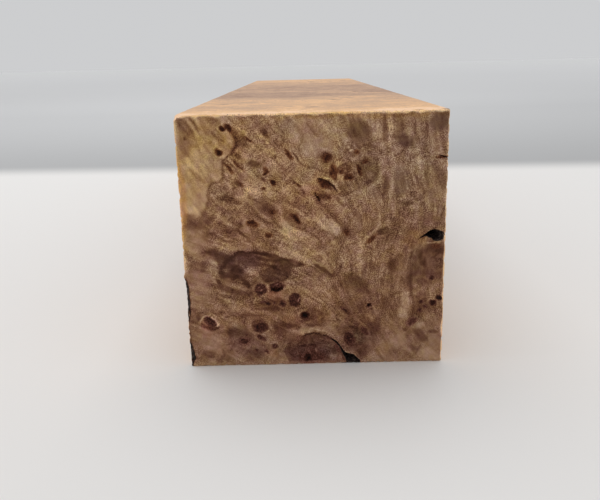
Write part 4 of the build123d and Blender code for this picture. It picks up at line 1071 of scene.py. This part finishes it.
def band_faces(ring, next_ring):
    """Faces between two rings, the next one with as many vertices or half as many."""
    count, next_count = len(ring), len(next_ring)
    faces = []
    if count == next_count:
        for index in range(count):
            after = (index + 1) % count
            faces.append((ring[after], ring[index], next_ring[index], next_ring[after]))
        return faces
    for index in range(next_count):
        after = (index + 1) % next_count
        left, middle, right = ring[2 * index], ring[2 * index + 1], ring[(2 * index + 2) % count]
        faces.append((middle, left, next_ring[index]))
        faces.append((middle, next_ring[index], next_ring[after]))
        faces.append((right, middle, next_ring[after]))
    return faces


def eased(points):
    """The box's arrises rounded over, by an amount that wear varies along them."""
    easing = (ARRIS_EASING + ARRIS_WEAR * noise(points, 2.2, seed=20))[:, None]
    inner = np.clip(points, node_low + easing, node_high - easing)
    outward = points - inner
    reach = np.linalg.norm(outward, axis=1, keepdims=True)
    return np.where(reach > 0, inner + outward * easing / np.maximum(reach, 1e-9), points)


def frayed(points):
    """The arrises of the shown end torn a little by the saw, most at the front."""
    inner = np.clip(points, node_low + FRAY_REACH, node_high - FRAY_REACH)
    outward = points - inner
    outward[:, 1] = 0
    tear = np.maximum(noise(points, 0.7, seed=37) + 0.5 * noise(points, 0.4, seed=38), 0)
    fading = 1 - smooth_step(points[:, 1] - FRONT, *FRAY_FADING)
    return points - FRAY * (tear * fading)[:, None] * outward / FRAY_REACH


def chipped(points):
    """The upper left corner of the shown end broken away along one rough plane."""
    across, down, back = CHIP
    corner = np.array([node_low[0], FRONT, node_high[2]])
    outward = np.array([-1 / across, -1 / back, 1 / down])
    reach = np.linalg.norm(outward)
    rough = CHIP_ROUGH * noise(points, 0.8, seed=21)
    beyond = ((points - corner) @ outward + 1) / reach + rough
    return points - np.maximum(beyond, 0)[:, None] * outward / reach


def scoop_places(points, row):
    """Where points lie in one scoop's ellipsoid: aside, behind, and the room left at their height."""
    middle, half_height, bite, depth = row
    rough = 1 + SCOOP_ROUGH * noise(points, 0.9, seed=22)
    aside = (points[:, 0] - node_low[0]) / (bite * rough)
    behind = (points[:, 1] - FRONT) / (depth * rough)
    room = 1 - ((points[:, 2] - node_low[2] - middle) / half_height) ** 2
    return aside, behind, room


def scooped(points):
    """Bark scoops eaten out of the left arris, and the splinter above them."""
    for row in ARRIS_SCOOPS:
        _, _, bite, depth = row
        aside, behind, room = scoop_places(points, row)
        square = 1 / bite**2 + 1 / depth**2
        half = aside / bite + behind / depth
        short = aside**2 + behind**2 - room
        root = np.sqrt(np.maximum(half**2 - square * short, 0))
        push = np.where(short < 0, root - half, 0) / square
        points = points + np.clip(push, 0, bite)[:, None] * np.array([1.0, 1.0, 0.0])
    middle, half_height, stand_off, across, back = SPLINTER
    near = ridge(points[:, 1], FRONT, back) * ridge(points[:, 0], node_low[0], across)
    lift = near * np.clip(1 - np.abs(points[:, 2] - middle) / half_height, 0, 1)
    points[:, 0] -= stand_off * lift
    return points


def bark_share(points):
    """How far bark covers the scoops' walls and the sill, from 0 to 1."""
    share = np.zeros(len(points))
    for row in ARRIS_SCOOPS:
        aside, behind, room = scoop_places(points, row)
        wall = 1 - smooth_step(aside**2 + behind**2 - SCOOP_BARK * room, *SCOOP_BARK_FADING)
        share = np.maximum(share, wall)
    q = oval_distance(*figure_place(*end_place(points)), *BARK_SILL)
    sill = 1 - smooth_step(q, *BARK_SILL_FADING)
    return np.maximum(share, np.where(points[:, 1] < FRONT + END_DEPTH, sill, 0))


def pitted(points):
    """Open pith sunk into the shown end, with the soft eyes a little below the rest."""
    u, v = end_place(points)
    flat = on_end(u, v)
    moved_u = u + PIT_WANDER * noise(flat, 0.6, seed=23)
    moved_v = v + PIT_WANDER * noise(flat, 0.6, seed=24)
    place = figure_place(moved_u, moved_v)
    sunk = SAW_WAVE * 0.5 * (1 + noise(flat, 3.0, seed=25))
    for margin in (np.minimum(u, WIDTH - u), np.minimum(v, HEIGHT - v)):
        sunk = sunk * smooth_step(margin, 0, SAW_WAVE_MARGIN)
    for *oval, core, _, soft in EYES:
        if core < SUNK_EYE_TONE:
            q = oval_distance(*place, *oval)
            sunk = np.maximum(sunk, EYE_SINK * (1 - smooth_step(q, 1 - soft, 1 + soft)))
    for *oval, depth in PITS:
        q = oval_distance(*place, *oval)
        sunk = np.maximum(sunk, depth * np.sqrt(np.clip(1 - q * q, 0, 1)))
    on_face = points[:, 1] < FRONT + ON_FACE
    points = points.copy()
    points[:, 1] += np.where(on_face, sunk, 0)
    return points


def pocket_cutter(name, outline, inside, seed):
    """A closed mesh that cuts a pocket: the outline carried inwards, shrinking and roughened."""
    depth, floor_share, drift = inside
    rim = real_place(outline)
    middle = rim.mean(axis=0)
    count = len(rim)
    sections = []
    for share in POCKET_SECTIONS:
        inwards = max(share, 0)
        shrink = blend(1, floor_share, inwards**POCKET_TAPER)
        section = middle + (rim - middle) * shrink + np.array(drift) * inwards
        section = np.column_stack([section, np.full(count, share * depth)])
        if share > 0:
            rough = [noise(section, 0.8, seed), noise(section, 0.8, seed + 1)]
            section[:, :2] += POCKET_ROUGH * np.column_stack(rough)
        sections.append(section)
    u, v, deep = np.concatenate(sections).T
    vertices = np.column_stack([u + node_low[0], deep + FRONT, v + node_low[2]])
    last = len(sections) - 1
    faces = []
    for level, index in itertools.product(range(last), range(count)):
        here = level * count + index
        after = level * count + (index + 1) % count
        faces.append((here, after, after + count, here + count))
    faces.append(tuple(range(count))[::-1])
    faces.append(tuple(range(last * count, (last + 1) * count)))
    return make_object(name, vertices, faces)


def make_object(name, vertices, faces):
    """A mesh object in metres, from vertices in millimetres."""
    mesh = bpy.data.meshes.new(name)
    mesh.from_pydata((vertices * MM).tolist(), [], [tuple(map(int, face)) for face in faces])
    mesh.validate()
    item = bpy.data.objects.new(name, mesh)
    bpy.context.scene.collection.objects.link(item)
    return item


def cut(item, cutter):
    """Takes the cutter out of the item for good."""
    modifier = item.modifiers.new("cut", "BOOLEAN")
    modifier.operation = "DIFFERENCE"
    modifier.solver = "MANIFOLD"
    modifier.object = cutter
    depsgraph = bpy.context.evaluated_depsgraph_get()
    mesh = bpy.data.meshes.new_from_object(item.evaluated_get(depsgraph))
    item.modifiers.clear()
    item.data = mesh
    bpy.data.objects.remove(cutter)


class Field:
    """A value that a material's nodes work out for each point, to be used in formulas."""

    def __init__(self, tree, socket):
        self.tree = tree
        self.socket = socket

    def combine(self, operation, *others):
        return add_node(self.tree, "ShaderNodeMath", [self, *others], operation=operation)

    def __add__(self, other):
        return self.combine("ADD", other)

    def __sub__(self, other):
        return self.combine("SUBTRACT", other)

    def __mul__(self, other):
        return self.combine("MULTIPLY", other)

    def swing(self):
        """A noise field moved from about its middle of a half to zero."""
        return self - 0.5

    def between(self, start, end):
        """Runs smoothly from 0 at start to 1 at end."""
        settings = {"interpolation_type": "SMOOTHSTEP"}
        return add_node(self.tree, "ShaderNodeMapRange", [self, start, end], **settings)


def feed(tree, socket, value):
    """Links a field to a node's socket, or sets a plain value on it."""
    if isinstance(value, Field):
        tree.links.new(value.socket, socket)
    else:
        socket.default_value = value


def add_node(tree, kind, inputs, output=0, **settings):
    """Adds a node, with inputs in order or by name, and gives one output as a field."""
    node = tree.nodes.new(kind)
    for name, value in settings.items():
        setattr(node, name, value)
    pairs = inputs.items() if isinstance(inputs, dict) else enumerate(inputs)
    for key, value in pairs:
        feed(tree, node.inputs[key], value)
    return Field(tree, node.outputs[output])


def attribute(tree, name):
    """A field stored on the mesh."""
    return add_node(tree, "ShaderNodeAttribute", {}, output="Fac", attribute_name=name)


def vector(tree, x, y, z):
    """Three values as one vector."""
    return add_node(tree, "ShaderNodeCombineXYZ", [x, y, z])


def cloud(tree, place, scale, detail=2.0, distortion=0.0, output=0):
    """Noise at a place, from about 0 to 1."""
    inputs = {"Vector": place, "Scale": scale, "Detail": detail, "Distortion": distortion}
    return add_node(tree, "ShaderNodeTexNoise", inputs, output=output)


def cells(tree, place, scale):
    """Distance to the nearest of many scattered points."""
    inputs = {"Vector": place, "Scale": scale}
    return add_node(tree, "ShaderNodeTexVoronoi", inputs, output="Distance")


def linear(shade):
    """The linear value of one channel from 0 to 255."""
    share = shade / FULL_TONE
    return share / 12.92 if share <= 0.04045 else ((share + 0.055) / 1.055) ** 2.4


def wood_ramp(tree, tone, light):
    """The colour of wood by tone, as it looks where a white surface would shine with this light."""
    stops = []
    for colour in WOOD_COLOURS:
        stops.append((colour[0] / FULL_TONE, [linear(shade) / light for shade in colour]))
    return colour_ramp(tree, tone, stops)


def colour_ramp(tree, share, stops):
    """Colours that change with a share, from stops of a place and a colour."""
    node = tree.nodes.new("ShaderNodeValToRGB")
    feed(tree, node.inputs["Fac"], share)
    elements = node.color_ramp.elements
    while len(elements) < len(stops):
        elements.new(1.0)
    for element, (place, colour) in zip(elements, stops):
        element.position = place
        element.color = (*colour, 1.0)
    return Field(tree, node.outputs["Color"])


def new_material(name, roughness, specular):
    """A material with a plain shader, and its node tree."""
    material = bpy.data.materials.new(name)
    material.use_nodes = True
    shader = material.node_tree.nodes["Principled BSDF"]
    shader.inputs["Roughness"].default_value = roughness
    shader.inputs["Specular IOR Level"].default_value = specular
    return material, material.node_tree, shader


def relief(tree, shader, height, strength):
    """Roughens the surface by a height field in millimetres."""
    inputs = {"Height": height, "Strength": strength, "Distance": MM}
    feed(tree, shader.inputs["Normal"], add_node(tree, "ShaderNodeBump", inputs))


def mixed(tree, share, first, second):
    """Two colours mixed by a share."""
    node = tree.nodes.new("ShaderNodeMix")
    node.data_type = "RGBA"
    for name, value in (("Factor_Float", share), ("A_Color", first), ("B_Color", second)):
        socket = next(item for item in node.inputs if item.identifier == name)
        feed(tree, socket, value)
    return Field(tree, next(item for item in node.outputs if item.identifier == "Result_Color"))


def tinted(tree, colour):
    """The colour shifted towards red and yellow as the mesh says."""
    red = attribute(tree, "red")
    yellow = attribute(tree, "yellow")
    steps = zip(RED_STEP, YELLOW_STEP)
    green, blue = (red * by_red + yellow * by_yellow + 1.0 for by_red, by_yellow in steps)
    factors = vector(tree, 1.0, green, blue)
    return add_node(tree, "ShaderNodeVectorMath", [colour, factors], operation="MULTIPLY")


def block_place(tree):
    """The place in the block, in millimetres."""
    coordinates = tree.nodes.new("ShaderNodeTexCoord")
    inputs = {"Vector": Field(tree, coordinates.outputs["Object"]), "Scale": (1 / MM, 1 / MM, 1 / MM)}
    return add_node(tree, "ShaderNodeMapping", inputs)


def end_grain():
    """The shown end: tones and hues from the mesh, with fine fleck over them."""
    material, tree, shader = new_material("end_grain", roughness=0.62, specular=SPECULAR)
    place = block_place(tree)
    sparkle = cloud(tree, place, scale=5.0, detail=1.0).between(0.3, 0.7).swing()
    specks = cloud(tree, place, scale=2.4).swing()
    flecks = sparkle * SPARKLE_SHARE + specks * SPECK_SHARE
    tone = attribute(tree, "tone") + flecks * attribute(tree, "fleck")
    feed(tree, shader.inputs["Base Color"], tinted(tree, wood_ramp(tree, tone, END_LIGHT)))
    relief(tree, shader, (specks + sparkle) * 0.1, strength=0.5)
    return material


def burl_figure(tree, place):
    """Tone of the burl through the whole block: swirling bands, with eyes in clusters."""
    swirl = cloud(tree, place, scale=0.035, detail=3.0, distortion=1.2)
    bands = cloud(tree, place, scale=0.11, detail=4.0, distortion=2.6).swing()
    wander = cloud(tree, place, scale=0.3, detail=3.0, output="Color")
    parts = [wander, EYE_WANDER, place]
    bent = add_node(tree, "ShaderNodeVectorMath", parts, operation="MULTIPLY_ADD")
    apart = cells(tree, bent, scale=0.16)
    clusters = swirl.between(0.46, 0.6)
    eyes = apart.between(0.32, 0.10) * clusters
    rings = apart.between(0.28, 0.38) * apart.between(0.52, 0.40) * clusters
    pins = cells(tree, bent, scale=0.4).between(0.26, 0.06) * swirl.between(0.42, 0.56)
    ground = swirl.swing() * SWIRL_SHARE + bands * BAND_SHARE
    return ground - eyes * EYE_SHARE + rings * RING_SHARE - pins * PIN_SHARE


def long_grain():
    """The four sawn sides: the pale burl figure with fine pores along the blank."""
    material, tree, shader = new_material("long_grain", roughness=0.6, specular=SPECULAR)
    place = block_place(tree)
    stretched = add_node(tree, "ShaderNodeMapping", {"Vector": place, "Scale": PORE_STRETCH})
    pores = cloud(tree, stretched, scale=1.0)
    behind = add_node(tree, "ShaderNodeSeparateXYZ", [place], output="Y") - FRONT
    start, full, fading, end = HEART_BAND
    heart = behind.between(start, full) * behind.between(end, fading) * (HEART_BAND_TONE / FULL_TONE)
    near_end = behind.between(*PALE_NEAR_END) * (PALE_NEAR_END_TONE / FULL_TONE)
    tone = burl_figure(tree, place) + SIDE_TONE / FULL_TONE - heart + near_end
    tone = tone + pores.swing() * PORE_SHARE - attribute(tree, "bark")
    colour = wood_ramp(tree, tone, SIDE_LIGHT)
    pale = add_node(tree, "ShaderNodeVectorMath", [colour, SIDE_PALE], operation="MULTIPLY")
    feed(tree, shader.inputs["Base Color"], pale)
    relief(tree, shader, pores * 0.1, strength=0.4)
    return material


def far_end_grain():
    """The far end: the burl figure cut across, darker than on the sides."""
    material, tree, shader = new_material("far_end_grain", roughness=0.62, specular=SPECULAR)
    place = block_place(tree)
    specks = cloud(tree, place, scale=2.2, detail=3.0).swing()
    tone = burl_figure(tree, place) * FAR_END_CONTRAST + GROUND_TONE / FULL_TONE
    tone = tone + specks * FAR_END_SPECKS
    feed(tree, shader.inputs["Base Color"], wood_ramp(tree, tone, END_LIGHT))
    relief(tree, shader, specks * 0.12, strength=0.5)
    return material


def bark():
    """Old bark in the pockets and scoops: near black, with dull grey flakes."""
    material, tree, shader = new_material("bark", roughness=0.85, specular=0.2)
    flakes = cloud(tree, block_place(tree), scale=1.6, detail=4.0)
    colour = mixed(tree, flakes.between(0.45, 0.7), BARK_DARK, BARK_GREY)
    feed(tree, shader.inputs["Base Color"], colour)
    relief(tree, shader, flakes * 0.3, strength=0.8)
    return material


def figured_blank():
    """The blank as one mesh, with its faults cut in and its figure stored on it."""
    points, faces = block_mesh()
    shaped = pitted(scooped(chipped(frayed(eased(points)))))
    blank = make_object("figured_blank", shaped, faces)
    for make in (end_grain, long_grain, far_end_grain, bark):
        blank.data.materials.append(make())
    cut(blank, pocket_cutter("side_pocket", SIDE_POCKET, SIDE_POCKET_INSIDE, seed=30))
    cut(blank, pocket_cutter("foot_pocket", FOOT_POCKET, FOOT_POCKET_INSIDE, seed=32))
    cut(blank, pocket_cutter("drying_check", DRYING_CHECK, DRYING_CHECK_INSIDE, seed=34))
    store_figure(blank.data)
    sort_faces(blank.data)
    lay_out(blank.data)
    blank.data.shade_smooth()
    blank.data.set_sharp_from_angle(angle=math.radians(SHARP_ANGLE))
    return blank


def vertex_places(mesh):
    """All vertices in millimetres."""
    flat = np.empty(3 * len(mesh.vertices), dtype=np.float32)
    mesh.vertices.foreach_get("co", flat)
    return flat.reshape(-1, 3).astype(float) / MM


def face_places(mesh):
    """Normal and middle of each face, and how far the middle lies inside the four long sides."""
    normals, middles = (np.empty(3 * len(mesh.polygons), dtype=np.float32) for _ in range(2))
    mesh.polygons.foreach_get("normal", normals)
    mesh.polygons.foreach_get("center", middles)
    middles = middles.reshape(-1, 3) / MM
    aside = np.minimum(middles - node_low, node_high - middles)
    return normals.reshape(-1, 3), middles, np.minimum(aside[:, 0], aside[:, 2])


def store_figure(mesh):
    """Keeps the fields of the shown end on the mesh, for its material."""
    places = vertex_places(mesh)
    shown = places[:, 1] < FRONT + FIGURE_DEPTH
    fields = end_figure(*end_place(places[shown]))
    covered = bark_share(places[shown])
    fields["bark"] = covered
    fields["tone"] = blend(fields["tone"], BARK_TONE / FULL_TONE, covered)
    fields["fleck"] = blend(fields["fleck"], BARK_FLECK, covered)
    for name, values in fields.items():
        everywhere = np.zeros(len(places), dtype=np.float32)
        everywhere[shown] = values
        layer = mesh.attributes.new(name, "FLOAT", "POINT")
        layer.data.foreach_set("value", everywhere)


def sort_faces(mesh):
    """Gives each face its material: shown end, long sides, far end or bark."""
    shown_end, long_side, far_end, bark_wall = range(4)
    normals, middles, inside = face_places(mesh)
    turned = normals[:, 1]
    deep = middles[:, 1] - FRONT
    kind = np.full(len(middles), long_side, dtype=np.int32)
    kind[(turned < -END_TURN) & (deep < END_DEPTH)] = shown_end
    kind[(inside > END_CLEAR) & (deep < MOUTH_DEPTH)] = shown_end
    kind[turned > END_TURN] = far_end
    u, v = end_place(middles)
    chip = (u < 2 * CHIP[0]) & (HEIGHT - v < 2 * CHIP[1])
    between_ends = (deep > MOUTH_DEPTH) & (node_high[1] - middles[:, 1] > END_DEPTH)
    kind[(inside > SIDE_CLEAR) & between_ends & ~chip] = bark_wall
    lip = (deep > MOUTH_LIP) & (deep < END_DEPTH) & (turned > -MOUTH_TURN)
    for outline in (SIDE_POCKET, FOOT_POCKET):
        mouth = inside_share(*figure_place(u, v), outline, MOUTH_SOFT) > MOUTH_LEAST
        kind[mouth & lip] = bark_wall
    mesh.polygons.foreach_set("material_index", kind)


def lay_out(mesh):
    """Lays the faces out flat for baking on the side that each faces, pockets on the shown end."""
    normals, middles, inside = face_places(mesh)
    sizes = np.empty(len(mesh.polygons), dtype=np.int32)
    corners = np.empty(len(mesh.loops), dtype=np.int32)
    mesh.polygons.foreach_get("loop_total", sizes)
    mesh.loops.foreach_get("vertex_index", corners)
    facing = np.argmax([sign * normals[:, axis] for axis, sign, *_ in BAKE_CHARTS], axis=0)
    facing[(inside > SIDE_CLEAR) & (middles[:, 1] < FRONT + POCKET_REACH)] = 0
    facing = np.repeat(facing, sizes)
    places = vertex_places(mesh)[corners] - node_low
    spots = np.empty((len(corners), 2), dtype=np.float32)
    for index, (_, _, across, up, left, foot, scale) in enumerate(BAKE_CHARTS):
        chosen = facing == index
        spots[chosen] = places[chosen][:, [across, up]] * scale + (left, foot)
    layer = mesh.uv_layers.new(name="OFBake")
    layer.data.foreach_set("uv", (spots / BAKE_SIDE).ravel())


def floor():
    """One wide pale floor that turns greyer behind the blank, with painted shade darkest along the line.
    """
    half = FLOOR_SIZE / 2
    corners = [(-half, -half, 0), (half, -half, 0), (half, half, 0), (-half, half, 0)]
    mesh = bpy.data.meshes.new("floor")
    mesh.from_pydata(corners, [], [(0, 1, 2, 3)])
    material, tree, shader = new_material("floor", roughness=0.9, specular=0.1)
    coordinates = tree.nodes.new("ShaderNodeTexCoord")
    place = Field(tree, coordinates.outputs["Object"])
    across, back = (add_node(tree, "ShaderNodeSeparateXYZ", [place], output=axis) for axis in "XY")
    start = sum(FLOOR_LINE) / 2 - CAMERA_PLACE[1]
    distance = (back - CAMERA_PLACE[1]).combine("MAXIMUM", start)
    up_the_view = distance.combine("POWER", -1.0) * -start + 1.0
    # Greys behind the line: painted backdrop shade, darkest at the line.
    greys = [(at, [min(grey * part, 1.0) for part in FLOOR_BEHIND_HUE]) for at, grey in FLOOR_BEHIND]
    behind = colour_ramp(tree, up_the_view, greys)
    line = (back + across * FLOOR_LINE_LEAN).between(*FLOOR_LINE)
    colour = mixed(tree, line, FLOOR_NEAR, behind)
    feed(tree, shader.inputs["Base Color"], colour)
    mesh.materials.append(material)
    item = bpy.data.objects.new("floor", mesh)
    bpy.context.scene.collection.objects.link(item)


def light():
    """One wide soft lamp above, and an even world that the camera sees as a pale backdrop."""
    lamp = bpy.data.lights.new("key", "AREA")
    lamp.energy = KEY_POWER
    lamp.size = KEY_SIZE
    item = bpy.data.objects.new("key", lamp)
    item.location = KEY_PLACE
    bpy.context.scene.collection.objects.link(item)
    world = bpy.data.worlds.new("studio")
    world.use_nodes = True
    bpy.context.scene.world = world
    tree = world.node_tree
    seen = tree.nodes["Background"]
    seen.inputs["Color"].default_value = BACKGROUND
    shining = tree.nodes.new("ShaderNodeBackground")
    shining.inputs["Strength"].default_value = WORLD_STRENGTH
    path = tree.nodes.new("ShaderNodeLightPath")
    kinds = ("Camera", "Glossy", "Transmission")
    direct, glossy, through = (Field(tree, path.outputs[f"Is {kind} Ray"]) for kind in kinds)
    shown = direct.combine("MAXIMUM", glossy).combine("MAXIMUM", through)
    mix = tree.nodes.new("ShaderNodeMixShader")
    feed(tree, mix.inputs[0], shown)
    tree.links.new(shining.outputs[0], mix.inputs[1])
    tree.links.new(seen.outputs[0], mix.inputs[2])
    tree.links.new(mix.outputs[0], tree.nodes["World Output"].inputs["Surface"])


def camera():
    """The camera at the place that the view needs."""
    data = bpy.data.cameras.new("camera")
    data.sensor_fit = "HORIZONTAL"
    data.sensor_width = SENSOR_WIDTH
    data.lens = LENS
    data.clip_start = CLIP_START
    item = bpy.data.objects.new("camera", data)
    right, up = np.array(CAMERA_RIGHT), np.array(CAMERA_UP)
    columns = np.column_stack([right, up, np.cross(right, up), CAMERA_PLACE])
    item.matrix_world = Matrix([*columns.tolist(), (0, 0, 0, 1)])
    bpy.context.scene.collection.objects.link(item)
    bpy.context.scene.camera = item


blank = figured_blank()
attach(blank, "root")
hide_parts("burl_blank")
floor()
light()
camera()
bpy.context.scene.view_settings.view_transform = "Standard"
